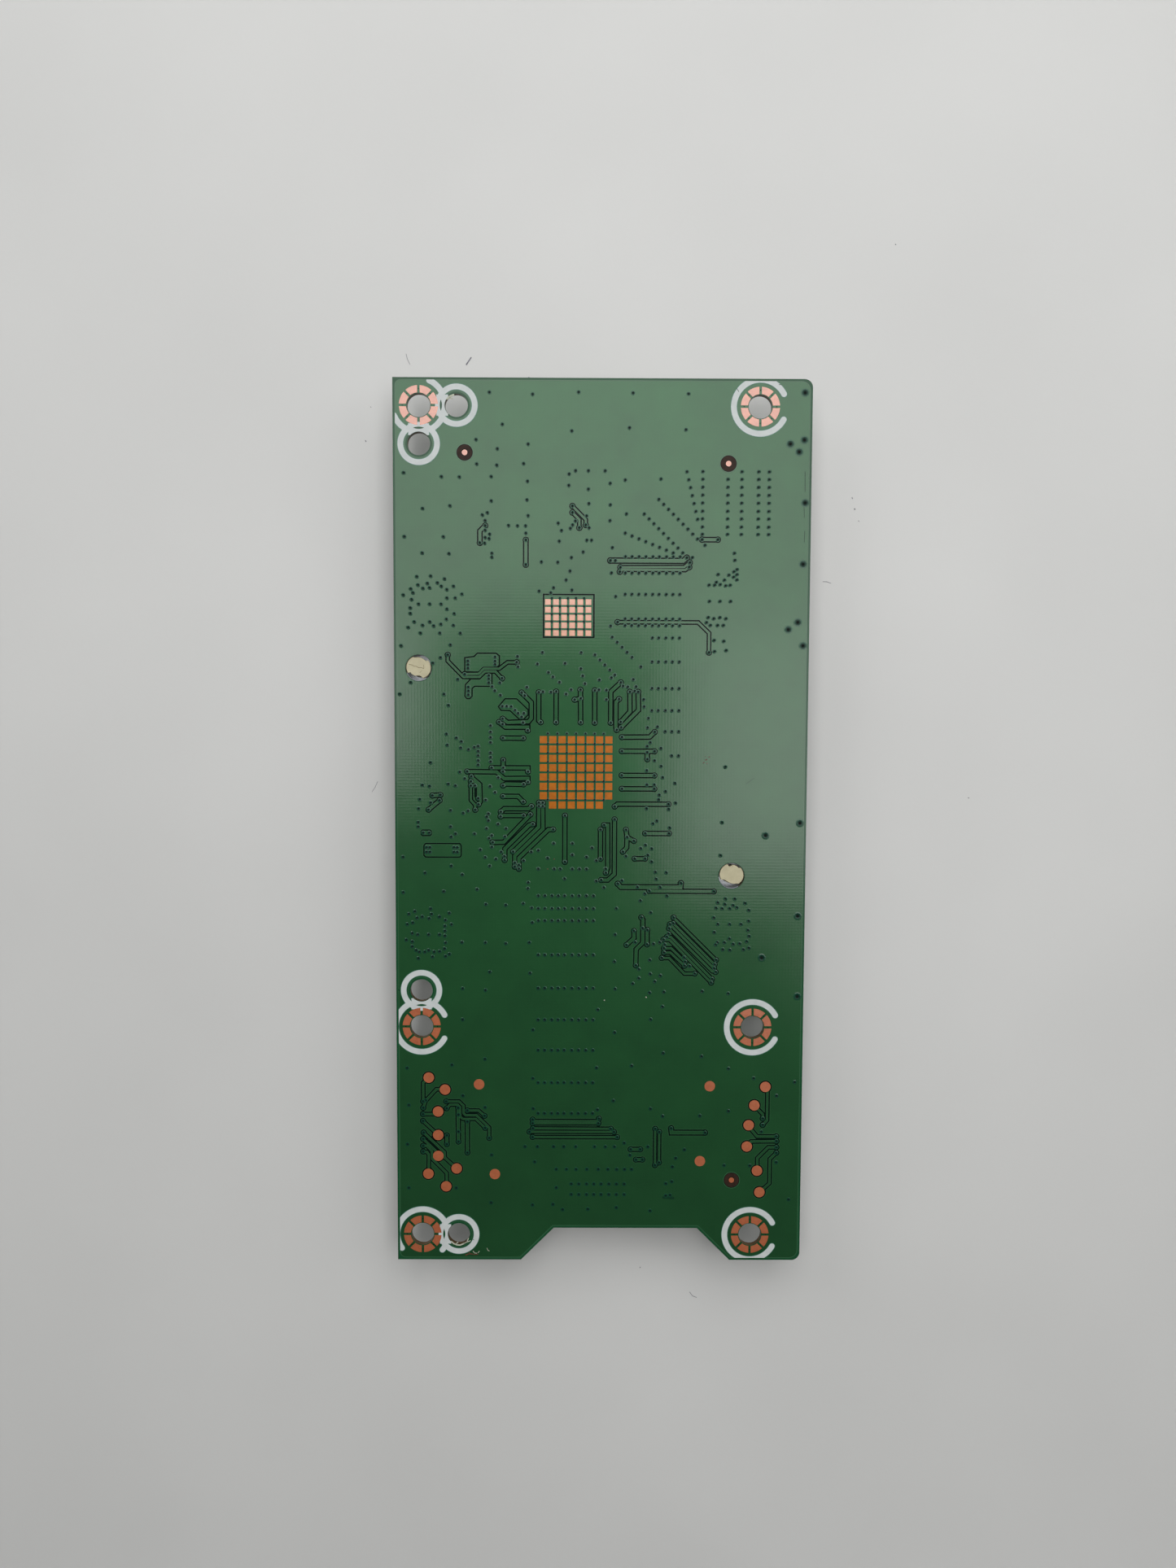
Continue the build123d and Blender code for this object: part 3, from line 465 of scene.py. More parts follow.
narrowTraces = [
    [(3.3, 47.4), (14.8, 47.5), (15.8, 48.3)], [(3.2, 46.6), (3.65, 46.98), (15.0, 46.98), (15.7, 47.5)],
    [(2.85, 37.6), (17.4, 37.6), (19.4, 35.7), (19.4, 32.2)],
    [(-5.35, 58.25), (-2.95, 55.85), (-2.95, 54.9)], [(-5.35, 57.1), (-4.1, 55.85), (-4.1, 54.4)],
    [(-27.8, 31.6), (-27.8, 30.5), (-25.0, 27.65), (-22.1, 27.65), (-21.1, 28.65), (-19.2, 28.65),
     (-18.0, 27.4)],
    [(-24.75, 28.15), (-22.25, 28.2), (-21.3, 29.15), (-18.5, 29.15), (-17.0, 30.3), (-15.35, 30.3)],
    [(-23.6, 9.6), (-22.0, 8.2), (-21.9, 5.0), (-22.3, 4.5)],
    [(-23.7, 8.7), (-22.9, 8.6), (-22.35, 8.1), (-22.35, 5.6)],
    [(-23.7, 7.9), (-23.7, 5.3), (-22.9, 4.4), (-22.9, 3.5)],
    [(13.4, -16.2), (21.3, -24.05)], [(13.35, -17.25), (21.05, -24.9)], [(12.75, -17.45), (20.95, -25.6)],
    [(12.6, -18.2), (20.6, -26.15), (21.25, -26.3)], [(12.2, -19.8), (12.95, -19.8), (20.6, -27.6)],
    [(11.6, -20.3), (12.75, -20.35), (20.45, -28.3)], [(11.7, -21.9), (13.05, -21.9), (15.6, -24.4)],
    [(11.7, -22.7), (12.9, -22.7), (15.5, -25.15)],
    [(11.3, -23.7), (12.7, -23.7), (15.5, -26.6), (17.4, -26.6)],
    [(-12.4, -54.1), (-12.1, -54.35), (-0.5, -54.35), (-0.1, -53.9)], [(-12.4, -54.8), (-0.2, -54.78)],
    [(-12.35, -55.75), (2.1, -55.8)], [(-13.0, -56.4), (2.7, -56.4)], [(-12.4, -57.4), (3.3, -57.4)],
    [(10.35, -55.8), (10.35, -62.7)], [(11.1, -56.4), (11.1, -62.2)],
    [(-28.4, -50.7), (-26.0, -50.7), (-25.2, -51.5), (-25.2, -52.9), (-24.8, -53.3), (-22.8, -53.3),
     (-20.45, -55.6), (-20.45, -57.6)],
    [(-28.3, -52.0), (-27.7, -51.3), (-26.3, -51.3), (-25.8, -51.8), (-25.8, -53.6), (-25.3, -54.0),
     (-22.9, -54.0), (-21.2, -55.7)],
    [(-24.5, -52.4), (-22.4, -52.4), (-21.3, -53.4)],
]
landTraces = [
    [(-32.65, -50.7), (-32.65, -47.2), (-31.6, -46.2)],
    [(-32.65, -51.9), (-32.2, -50.6), (-30.2, -48.4), (-28.6, -48.45)],
    [(-32.7, -53.1), (-29.9, -53.1)], [(-32.7, -54.4), (-29.9, -57.05)],
    [(-32.6, -56.6), (-28.75, -60.3), (-28.75, -61.3), (-26.5, -63.4)],
    [(-32.7, -57.8), (-29.9, -60.5)],
    [(-32.7, -59.1), (-32.0, -59.1), (-31.1, -60.1), (-31.0, -61.6), (-28.35, -64.3), (-28.35, -66.8)],
    [(-32.7, -60.2), (-32.0, -60.3), (-31.65, -60.8), (-31.7, -64.4)],
    [(30.3, -55.0), (31.1, -54.1), (31.1, -48.6), (30.7, -47.8)],
    [(30.3, -53.8), (30.3, -53.0), (28.7, -51.3)],
    [(32.85, -57.2), (29.3, -57.2), (27.7, -55.3)], [(32.9, -58.1), (28.2, -58.15), (27.4, -59.1)],
    [(32.9, -59.25), (31.4, -59.25), (29.4, -61.3), (29.4, -63.7)],
    [(32.9, -60.3), (31.7, -61.5), (31.7, -66.1), (29.9, -67.8)],
]
islands = [     # islands of copper, each inside its own clearance
    [(-18.5, 22.3), (-17.4, 23.6), (-15.4, 23.6), (-13.4, 21.7), (-13.4, 20.9), (-14.2, 20.1),
     (-14.7, 20.05), (-16.5, 21.7), (-18.1, 21.75)],
    [(-24.6, 31.0), (-23.0, 31.2), (-22.4, 31.8), (-19.1, 31.8), (-18.6, 31.4), (-18.6, 29.85),
     (-19.0, 29.5), (-21.5, 29.5), (-22.3, 28.65), (-24.6, 28.7)],
    [(-24.5, 26.2), (-23.6, 27.15), (-22.0, 27.15), (-20.9, 28.2), (-19.95, 28.2), (-19.95, 26.1),
     (-23.0, 26.1), (-23.55, 25.6), (-23.55, 24.2), (-23.9, 23.85), (-24.3, 23.85), (-24.6, 24.2)],
    [(-31.9, -2.8), (-25.8, -2.8), (-25.6, -3.1), (-25.6, -4.8), (-25.8, -5.05), (-31.9, -5.05),
     (-32.15, -4.8), (-32.15, -3.1)],
    [(-32.5, -0.35), (-31.2, -0.35), (-31.05, -0.5), (-31.05, -0.95), (-31.2, -1.1), (-32.5, -1.1),
     (-32.65, -0.95), (-32.65, -0.5)],
]


def grownLoop(points, amount):
    # The same outline pushed outwards by an amount; its corners run clockwise or anticlockwise
    area = sum(a[0] * b[1] - b[0] * a[1] for a, b in zip(points, points[1:] + points[:1]))
    sign = 1 if area < 0 else -1
    grown = []
    for i, (x, y) in enumerate(points):
        back, ahead = points[i - 1], points[(i + 1) % len(points)]
        a = Vector((x - back[0], y - back[1])).normalized()
        b = Vector((ahead[0] - x, ahead[1] - y)).normalized()
        middle = (Vector((-a.y, a.x)) + Vector((-b.y, b.x))).normalized()
        reach = amount / max(0.5, middle.dot(Vector((-a.y, a.x))))
        grown.append((x + sign * middle.x * reach, y + sign * middle.y * reach))
    return grown


# Four layers make a trace: pale rim, dark clearance, pale trace edge, and the trace itself. The clearance
# is partly painted groove shade, and the pale rim and edge are partly a painted glint. How far each reaches
# past the trace's own outline
traceReach = {"halo": traceSize["gap"] + traceSize["halo"], "clearance": traceSize["gap"], "edge": 0.0,
              "core": -traceSize["edge"]}
traceShapes = {name: bmesh.new() for name in traceReach}
traceNumbers = count(1)


def nextLift():
    # Traces that cross lie a hair apart, so that no two faces share a plane
    return next(traceNumbers) % layers["steps"] * layers["step"]


def layTrace(points, width, endRadii):
    lift = nextLift()
    for name, reach in traceReach.items():
        level = top + layers[name] + lift
        strip(traceShapes[name], points, width + 2 * reach, top, level)
        for spot, radius in zip((points[0], points[-1]), endRadii):
            if radius:
                disc(traceShapes[name], *spot, radius + reach, top, level + layers["step"] / 2,
                     traceSize["endSides"])


for kind, routes in (("wide", wideTraces), ("plain", plainTraces), ("narrow", narrowTraces)):
    for route in routes:
        radius = max(traceSize[kind] / 2 + traceSize["endGrow"], traceSize["endRadius"])
        layTrace(route, traceSize[kind], (radius, radius))
for route in landTraces:
    layTrace(route, traceSize["toLand"], (traceSize["landEndRadius"], 0))
for points in islands:
    lift = nextLift()
    for name, reach in traceReach.items():
        filled(traceShapes[name], [grownLoop(points, reach)], top, top + layers[name] + lift)

# Each test land has its own clearance, and so has the grid of power lands
landSize = {
    "testRadius": 0.975, "clearance": 0.24, "testSides": 36, "clearanceSides": 28,
    "gridFrame": ((-10.5, -1.42), (34.85, 42.52)), "gridLine": 0.28, "gridHalo": 0.08,
}
isolatedLands = [(-31.6, -46.2), (-28.6, -48.45), (-29.9, -52.6), (-29.9, -57.05), (-29.9, -61.0),
                 (-26.5, -63.4), (-31.75, -64.4), (-28.45, -66.8), (30.7, -47.8), (28.7, -51.3),
                 (27.7, -55.05), (27.4, -59.1), (29.35, -63.7), (29.85, -67.8)]
pouredLands = [(-22.3, -47.45), (-19.4, -64.45), (20.4, -47.7), (18.7, -61.9)]
for x, y in isolatedLands:
    lift = nextLift()
    for name, grow in (("halo", traceSize["halo"]), ("clearance", 0)):
        disc(traceShapes[name], x, y, landSize["testRadius"] + landSize["clearance"] + grow, top,
             top + layers[name] + lift, landSize["clearanceSides"])
(gridLeft, gridRight), (gridLow, gridHigh) = landSize["gridFrame"]
gridCorners = [(gridLeft, gridLow), (gridRight, gridLow), (gridRight, gridHigh), (gridLeft, gridHigh)]
for name, grow in (("halo", landSize["gridHalo"]), ("clearance", 0)):
    strip(traceShapes[name], gridCorners, landSize["gridLine"] + 2 * grow, top, top + layers[name],
          closed=True)
wideGaps = [     # where a clearance is broader than usual
    ([(8.2, -18.4), (8.2, -21.3)], 0.4), ([(10.72, -55.9), (10.72, -62.6)], 0.3),
    ([(-22.85, 7.6), (-22.85, 6.0)], 0.45), ([(-17.4, 8.74), (-14.1, 8.74)], 0.34),
]
for points, wide in wideGaps:
    strip(traceShapes["clearance"], points, wide, top, top + layers["clearance"] - layers["step"])

traceLooks = {"halo": paleMaskAndGlint, "clearance": maskInGapsShaded, "edge": paleMaskAndGlint, "core": maskOverCopper}
for name, material in traceLooks.items():
    finishPiece(f"trace_{name}", "board", traceShapes[name], [material])

print("vias")

guardColumns = [-11.4, -10.2, -8.9, -7.75, -6.6, -5.2, -3.95, -2.6, -1.3]
busColumns = [4.2, 5.4, 6.65, 7.9, 9.15, 10.3, 11.6, 12.8, 14.05]
pairRows = [64.45, 63.1, 61.7, 60.3, 58.9, 57.45, 56.1, 54.65, 53.35]


def stepped(x, y, dx, dy, many):
    return [(x + dx * i, y + dy * i) for i in range(many)]


viaPlaces = [(x, y) for y in (-23.2, -29.4, -35.3, -41.0, -47.1, -52.9) for x in guardColumns]
viaPlaces += [(x, y) for y in (-12.25, -14.6, -16.85) for x in guardColumns]
viaPlaces += [(x, y) for y in (49.3, 46.4, 42.6, 38.2, 37.0) for x in busColumns]
viaPlaces += [(x, y) for y in (34.8, 30.5, 25.7, 21.7) for x in busColumns[4:]]
viaPlaces += [(x, 17.9) for x in busColumns[6:]] + [(x, 13.5) for x in busColumns[7:]]
viaPlaces += [(x, y) for x in (18.0, 25.0, 28.0, 29.9) for y in pairRows]
viaPlaces += [(22.5, y) for y in pairRows[1:]]
viaPlaces += stepped(10.15, 59.5, 0.875, -0.875, 9) + stepped(7.55, 56.9, 0.87, -0.86, 9)
viaPlaces += stepped(4.15, 53.5, 1.235, -0.5, 8) + stepped(15.15, 64.4, 0.33, -1.4, 7)
viaPlaces += stepped(1.9, 34.9, 0.9, -0.9, 5) + stepped(-1.2, 31.7, 0.9, -0.9, 5)
viaPlaces += [(x, -63.5) for x in (-8.0, -6.1, -4.3, -2.3, -0.2, 1.6, 3.25, 4.7, 6.0)]
viaPlaces += [(x, y) for y in (-66.3, -68.3) for x in (-5.2, -3.8, -2.35, -1.0, 0.35, 1.8, 3.2, 4.65)]
viaPlaces += [(x, -59.2) for x in (-13.8, -11.5, -8.5, -6.6, -4.4, -0.9, 1.1, 2.8, 9.0)]
viaPlaces += [(-20.1, y) for y in (18.85, 17.7, 16.7, 15.8, 13.9, 13.1, 12.3)]
viaPlaces += [(-22.35, y) for y in (15.1, 14.2, 13.4, 12.5, 11.7)]
viaPlaces += [    # upper part, left to right
    (-20.2, 78.2), (-12.5, 77.9), (-4.3, 78.3), (5.4, 78.2), (15.3, 78.1), (-17.9, 72.6), (-5.5, 71.5),
    (4.8, 72.1), (14.9, 71.8), (-22.6, 69.9), (-13.3, 69.15), (-18.8, 68.3), (-22.5, 65.6),
    (-14.1, 65.7), (-18.9, 65.4), (-5.95, 63.9), (-4.8, 64.5), (-2.5, 64.5), (0.5, 64.5), (1.4, 62.3),
    (4.1, 62.9), (10.5, 63.1), (-28.8, 63.35), (-25.6, 63.3), (-19.9, 63.4), (-13.4, 62.6),
    (-35.55, 64.0), (-13.5, 59.3), (-13.3, 56.5), (-19.9, 59.1), (-27.3, 58.2), (-32.2, 57.7),
    (-21.5, 56.6), (-20.6, 57.0), (-21.0, 55.6), (-21.0, 53.9), (-21.0, 52.6), (-20.2, 53.2),
    (-20.3, 52.4), (-21.1, 51.6), (-19.8, 49.8), (-19.8, 49.1), (-16.8, 54.75), (-15.2, 54.7),
    (-13.75, 54.7), (-13.7, 53.4), (-35.5, 52.7), (-28.5, 52.7), (-32.3, 49.8), (-27.5, 49.7),
    (-6.0, 61.9), (-2.5, 61.25), (-2.4, 58.7), (1.45, 58.5), (4.35, 56.9), (1.4, 55.7), (-2.8, 56.5),
    (-7.9, 55.2), (-7.3, 53.9), (-7.7, 52.0), (-7.95, 48.25), (-10.9, 48.3), (-5.5, 49.1),
    (-3.4, 50.1), (-2.75, 52.2), (-1.9, 52.2), (-4.8, 55.6), (-5.3, 54.9), (-5.7, 54.3),
    (-2.35, 54.4), (1.85, 50.9), (1.7, 46.4), (-5.75, 46.7), (-6.45, 45.1), (-5.4, 43.3),
    (-8.7, 43.7), (-11.3, 43.1), (-9.2, 42.8), (2.5, 42.2), (1.6, 36.9), (2.4, 48.6), (16.25, 49.2),
    (18.5, 51.4), (23.8, 50.0), (23.9, 48.75), (17.15, 52.5), (16.2, 53.45),
]
viaPlaces += [    # rings round the ground lands
    (-33.3, 45.6), (-30.8, 45.7), (-28.3, 45.2), (-33.1, 44.1), (-31.4, 44.4), (-29.6, 44.5),
    (-28.9, 43.9), (-26.7, 43.9), (-34.4, 43.4), (-32.2, 43.5), (-31.0, 43.6), (-27.9, 43.3),
    (-34.0, 42.7), (-35.75, 42.3), (-25.2, 42.5), (-34.25, 41.5), (-27.9, 41.8), (-26.4, 41.8),
    (-33.0, 40.7), (-31.0, 40.7), (-28.95, 40.7), (-34.5, 40.0), (-27.9, 39.8), (-34.5, 39.0),
    (-26.6, 39.0), (-28.0, 38.0), (-33.8, 37.5), (-31.0, 37.5), (-32.3, 36.9), (-30.3, 36.8),
    (-29.0, 37.1), (-26.75, 36.9), (-34.9, 36.5), (-32.7, 35.5), (-29.2, 35.5), (-25.5, 35.5),
    (-36.2, 33.2), (-27.3, 33.4), (20.9, 46.2), (22.85, 46.1), (23.75, 46.7), (24.3, 47.1),
    (24.3, 46.2), (23.7, 45.75), (24.3, 45.25), (22.05, 45.2), (20.6, 44.8), (19.3, 44.3),
    (20.3, 44.3), (21.3, 44.4), (22.3, 44.2), (23.1, 44.3), (19.4, 41.4), (21.3, 41.4), (23.2, 41.4),
    (19.2, 38.5), (20.2, 38.3), (21.3, 38.5), (22.4, 38.3), (18.9, 37.6), (19.6, 37.1), (20.9, 37.1),
    (21.95, 37.1), (20.3, 34.4), (22.05, 34.25), (20.4, 32.4), (22.5, 32.6),
    (-31.1, -14.7), (-34.0, -15.2), (-35.1, -15.7), (-30.95, -15.7), (-27.7, -15.5), (-33.6, -16.4),
    (-32.65, -16.2), (-31.4, -16.5), (-29.5, -16.2), (-28.4, -16.8), (-27.3, -17.6), (-35.4, -17.6),
    (-34.4, -17.3), (-28.5, -17.9), (-28.5, -18.8), (-34.5, -19.25), (-33.5, -19.5), (-31.5, -19.5),
    (-29.5, -19.5), (-28.5, -19.7), (-35.6, -20.5), (-34.5, -20.8), (-34.5, -21.7), (-28.4, -21.0),
    (-25.4, -20.9), (-33.8, -22.4), (-33.2, -22.7), (-32.2, -22.7), (-31.5, -22.4), (-30.5, -22.7),
    (-29.5, -22.6), (-28.6, -22.1), (-33.4, -23.9), (-30.8, -23.6), (-28.4, -23.5), (-27.7, -23.1),
    (22.9, -12.7), (24.6, -12.7), (21.5, -13.4), (22.8, -13.7), (24.3, -13.9), (21.2, -14.4),
    (22.3, -14.5), (23.7, -14.5), (25.0, -14.3), (20.8, -16.2), (21.55, -17.4), (23.7, -17.4),
    (25.8, -17.4), (20.9, -18.9), (23.7, -20.1), (21.5, -20.8), (21.2, -21.2), (22.8, -20.8),
    (24.4, -21.1), (25.6, -21.0), (22.5, -22.1), (23.8, -22.2), (26.5, -13.5), (27.2, -14.8),
    (27.2, -16.8), (27.1, -18.5), (27.3, -19.6), (26.9, -20.6), (27.3, -21.8), (26.3, -22.1),
]
viaPlaces += [    # about the controller
    (-19.8, 25.9), (-19.3, 25.15), (-18.3, 24.35), (-18.4, 26.6), (-15.1, 29.5), (-15.2, 31.35),
    (-13.5, 25.8), (-11.6, 30.0), (-6.6, 30.15), (-9.6, 28.5), (-8.8, 27.7), (-7.6, 26.75),
    (-10.6, 25.0), (-9.15, 24.95), (-6.4, 24.6), (-5.5, 25.4), (-3.75, 29.2), (-3.4, 27.9),
    (-3.0, 26.5), (-10.7, 32.1), (-3.7, 32.1), (-23.05, 14.9), (-24.1, 14.5), (-25.5, 14.8),
    (-25.4, 15.95), (-25.7, 10.4), (-24.8, 9.2), (1.8, 27.6), (-0.4, 27.2), (7.1, 29.6),
    (5.75, 27.3), (0.9, 25.35), (-0.45, 25.4), (0.9, 23.65), (3.9, 26.1), (4.75, 25.95), (6.25, 26.0),
    (6.0, 25.2), (7.65, 23.7), (7.75, 22.4), (8.55, 20.3), (8.4, 18.6), (10.2, 18.75), (8.9, 15.9),
    (8.35, 15.2), (10.85, 14.85), (9.7, 12.6), (10.9, 11.6), (8.3, 10.8), (11.2, 9.55), (8.35, 8.2),
    (9.7, 8.2), (13.45, 8.5), (-20.2, 7.8), (-19.3, 6.7), (-21.0, 5.3), (-24.2, 3.3), (-25.1, 2.9),
    (-20.5, 2.8), (-20.8, 2.25), (-20.5, 1.55), (-18.75, 0.9), (-17.3, 0.1), (-20.85, 0.1),
    (-23.05, -0.9), (-19.9, -1.2), (-20.4, -1.7), (-17.5, -1.4), (-19.9, -3.3), (-22.0, -3.8),
    (-21.1, -5.2), (-19.15, -5.5), (-20.3, -6.8), (-25.3, -8.4), (-22.6, -11.1), (-14.1, -5.8),
    (-12.7, -4.2), (-11.4, -3.9), (-9.7, -5.3), (-8.6, -2.6), (-5.2, -2.6), (-5.2, -4.7),
    (-2.6, -5.1), (-11.4, -7.3), (-8.5, -7.3), (-7.4, -7.3), (-5.2, -7.3), (-3.9, -7.3), (-2.6, -7.3),
    (-6.6, -9.1), (-13.25, -9.8), (-13.3, -10.9), (11.75, 7.0), (10.6, 6.35), (10.5, 5.5),
    (13.6, 4.9), (8.3, 3.85), (12.35, 3.75), (10.2, 1.6), (9.5, 1.1), (12.55, 0.35), (8.15, -2.85),
    (7.3, -3.45), (9.3, -3.5), (8.6, -4.7), (9.3, -5.9), (4.6, -4.9), (-1.6, -3.4), (-0.8, -5.75),
    (10.0, -7.8), (12.0, -7.9), (10.15, -9.1), (3.9, -9.4), (-0.8, -9.5), (0.6, -10.7), (8.1, -11.8),
    (21.9, -4.7), (22.1, 1.35), (22.6, 11.5), (6.75, -10.6), (10.9, -10.6), (-13.9, 24.3),
    (-14.2, 19.4), (-17.9, 19.1), (-18.7, 9.4), (-17.85, 10.5), (-17.6, -5.0), (-18.2, -4.2),
    (-11.3, 4.2), (-10.6, 4.2), (-15.7, -6.2), (-14.95, -6.6), (0.9, -7.25), (-22.95, 7.9),
]
viaPlaces += [    # left strip
    (-36.5, 24.5), (-34.5, 26.6), (-30.5, 30.1), (-29.1, 31.1), (-26.0, 27.2), (-28.5, 24.5),
    (-27.7, 22.5), (-28.1, 17.3), (-27.95, 15.3), (-26.3, 16.6), (-31.0, 12.1), (-32.5, 8.0),
    (-31.2, 7.8), (-27.8, 8.2), (-26.5, 7.9), (-33.0, 5.4), (-31.0, 4.8), (-33.2, 3.7),
    (-27.4, 3.4), (-33.3, 1.2), (-33.3, 0.4), (-27.4, 0.4), (-26.5, -0.9), (-27.3, -1.45),
    (-36.1, -5.2), (-27.3, -6.8), (-32.1, -8.1), (-36.1, -11.7), (-28.7, -11.5), (-25.3, -29.5),
    (-25.3, -35.3), (-31.8, -3.4), (-31.2, -3.4), (-31.8, -4.25), (-31.2, -4.25), (-26.8, -3.4),
    (-26.2, -3.4), (-26.8, -4.25), (-26.2, -4.25), (-32.4, -0.72), (-31.3, -0.72),
]
viaPlaces += [    # lower part
    (-14.15, -13.7), (-17.35, -14.0), (-21.0, -13.85), (-12.6, -14.5), (-12.5, -17.2), (2.9, -14.55),
    (2.7, -19.4), (-21.1, -20.95), (-17.35, -21.1), (-13.05, -20.9), (2.6, -24.4), (-20.3, -26.4),
    (-12.9, -26.6), (-21.1, -29.8), (2.75, -29.5), (-0.4, -33.4), (-12.35, -37.2), (2.7, -37.65),
    (7.3, -13.1), (12.15, -12.2), (9.2, -15.3), (7.75, -18.2), (6.4, -20.8), (9.75, -21.1),
    (10.9, -20.8), (11.8, -21.2), (9.1, -24.1), (7.1, -25.8), (9.2, -26.7), (11.05, -27.0),
    (7.1, -27.5), (10.05, -28.1), (6.0, -28.5), (11.75, -30.05), (9.1, -30.2), (11.5, -32.8),
    (9.35, -35.2), (12.5, -19.2), (15.4, -23.6), (16.4, -25.2), (18.8, -29.9), (23.6, -30.3),
    (11.7, -41.5), (-0.6, -44.3), (5.9, -43.9), (-12.35, -46.3), (2.55, -50.5), (9.45, -52.0),
    (11.7, -53.4), (-12.3, -52.0), (-0.4, -52.2), (4.6, -58.5), (5.7, -60.8), (-8.0, -67.0),
    (-8.6, -70.2), (-6.8, -71.2), (-2.1, -71.1), (3.2, -70.8), (9.5, -71.4), (-20.0, -60.8),
    (-12.0, -62.1), (-20.1, -69.9), (-12.4, -70.3), (12.4, -66.2), (13.5, -65.8), (12.4, -68.5),
    (13.2, -68.4), (13.6, -63.0), (18.8, -42.1), (23.8, -44.4), (28.5, -46.2), (36.1, -46.9),
    (23.9, -52.4), (18.6, -53.3), (32.8, -49.5), (30.05, -56.3), (15.8, -59.75), (14.2, -61.35),
    (23.2, -62.7), (28.0, -62.75), (32.9, -62.1), (35.3, -69.2), (-35.6, -44.4), (-27.3, -43.8),
    (-21.2, -42.7), (-35.3, -51.4), (-25.3, -49.6), (-21.2, -51.8), (-35.6, -58.8),
    (-35.4, -67.1), (-26.6, -67.1), (-26.15, -53.2), (-26.15, -56.4), (-32.2, -50.5),
]
islandVias = [
    (-24.15, 30.5), (-24.15, 29.85), (-24.15, 29.2), (-19.25, 31.25), (-19.25, 30.5), (-19.25, 29.9),
    (-24.1, 25.8), (-24.1, 25.1), (-24.1, 24.4), (-20.4, 27.9), (-20.4, 27.3), (-20.4, 26.6),
    (-17.95, 22.35), (-17.15, 22.35), (-16.35, 22.3), (-15.65, 21.65), (-15.1, 21.1), (-14.45, 20.45),
    (-14.05, 21.1), (-24.75, 28.1),
]
broadVias = [(36.1, 78.4), (36.1, 70.1), (33.6, 69.4), (35.2, 68.0), (36.4, 59.0), (36.2, 48.1),
             (35.4, 37.7), (33.7, 36.4), (36.4, 33.5), (36.35, 1.3), (30.1, -1.0), (36.2, -15.85),
             (36.35, -30.8), (29.7, -23.6)]
viaPlaces += islandVias
viaPlaces += [route[i] for routes in (wideTraces, plainTraces, narrowTraces) for route in routes
              for i in (0, -1)]
viaPlaces += [route[0] for route in landTraces]
gridVias = [(x, y) for y in (17.45, 15.6, 13.95, 12.3, 10.6, 8.8, 7.1, 5.4)
            for x in (-9.7, -7.95, -6.25, -4.55, -2.85, -1.2, 0.45)]
gridVias += [(x, y) for y in (41.85, 40.4, 39.0, 37.65, 36.3) for x in (-9.0, -7.55, -6.1, -4.65, -3.2)]

viaSize = {"plug": 0.16, "ring": 0.30, "foot": 0.42, "sides": 9, "broad": 1.9, "small": 0.8,
           "closest": 0.42}


def viaMesh(name, scale):
    # A tented via seen from above: a dimple in a low ring of mask, its shade painted in, darkest in the pit
    bm = bmesh.new()
    sides = viaSize["sides"]
    radii = [viaSize[key] * scale * mm for key in ("plug", "ring", "foot")]
    made = bmesh.ops.create_circle(bm, cap_ends=True, segments=sides, radius=radii[0])
    rim = [e for e in bm.edges if len(e.link_faces) == 1]
    bm.faces.ensure_lookup_table()
    for vertex in made["verts"]:
        vertex.co.z = (top + layers["viaFloor"]) * mm
    bm.faces[0].material_index = 0
    radius = radii[0]
    levels = ((radii[1], layers["viaTop"], 1), (radii[2], layers["viaFoot"], 2), (radii[2], 0, 2))
    for nextRadius, height, index in levels:
        grown = bmesh.ops.extrude_edge_only(bm, edges=rim)["geom"]
        for vertex in [g for g in grown if isinstance(g, bmesh.types.BMVert)]:
            vertex.co = Vector((vertex.co.x / radius * nextRadius, vertex.co.y / radius * nextRadius,
                                (top + height) * mm))
        for face in [g for g in grown if isinstance(g, bmesh.types.BMFace)]:
            face.material_index = index
        rim = [g for g in grown if isinstance(g, bmesh.types.BMEdge)]
        radius = nextRadius
    bmesh.ops.contextual_create(bm, geom=rim)
    mesh = bpy.data.meshes.new(name)
    bm.to_mesh(mesh)
    bm.free()
    return mesh


def stamp(bm, mesh, places):
    for x, y in places:
        shift = Matrix.Translation((x * mm, y * mm, 0))
        mesh.transform(shift)
        bm.from_mesh(mesh)
        mesh.transform(shift.inverted())


def spread(places, closest):
    # Leaves out a place that lies on one already taken
    kept = []
    for x, y in places:
        if all(hypot(x - a, y - b) > closest for a, b in kept):
            kept.append((x, y))
    return kept


viaPlaces = spread(viaPlaces, viaSize["closest"])
shape = bmesh.new()
stamp(shape, viaMesh("via", 1.0), viaPlaces)
stamp(shape, viaMesh("broad via", viaSize["broad"]), broadVias)
stamp(shape, viaMesh("small via", viaSize["small"]), gridVias)
finishPiece("vias", "board", shape, [viaPlugShade, viaRingShade, viaFoot])
print(len(viaPlaces) + len(broadVias) + len(gridVias), "vias")

print("white print")

ringSize = {
    "outer": 4.74, "outerWidth": 1.02, "inner": 3.28, "innerWidth": 1.0, "innerSides": 60,
    "bridge": 1.85, "bridgeStart": 3.2, "bridgeGap": 0.06, "bridgeBow": 46, "lens": (1.0, 0.2),
    "lensPlace": 3.99, "tick": (2.95, 3.6), "tickWidth": 0.32, "bleed": 0.1, "bleedDrop": 0.004,
    "tickDrop": 0.001, "gapRise": 0.003, "scratch": 0.1, "clip": 0.42,
}
clipX, clipY = (half - ringSize["clip"] for half in pourSize["half"])


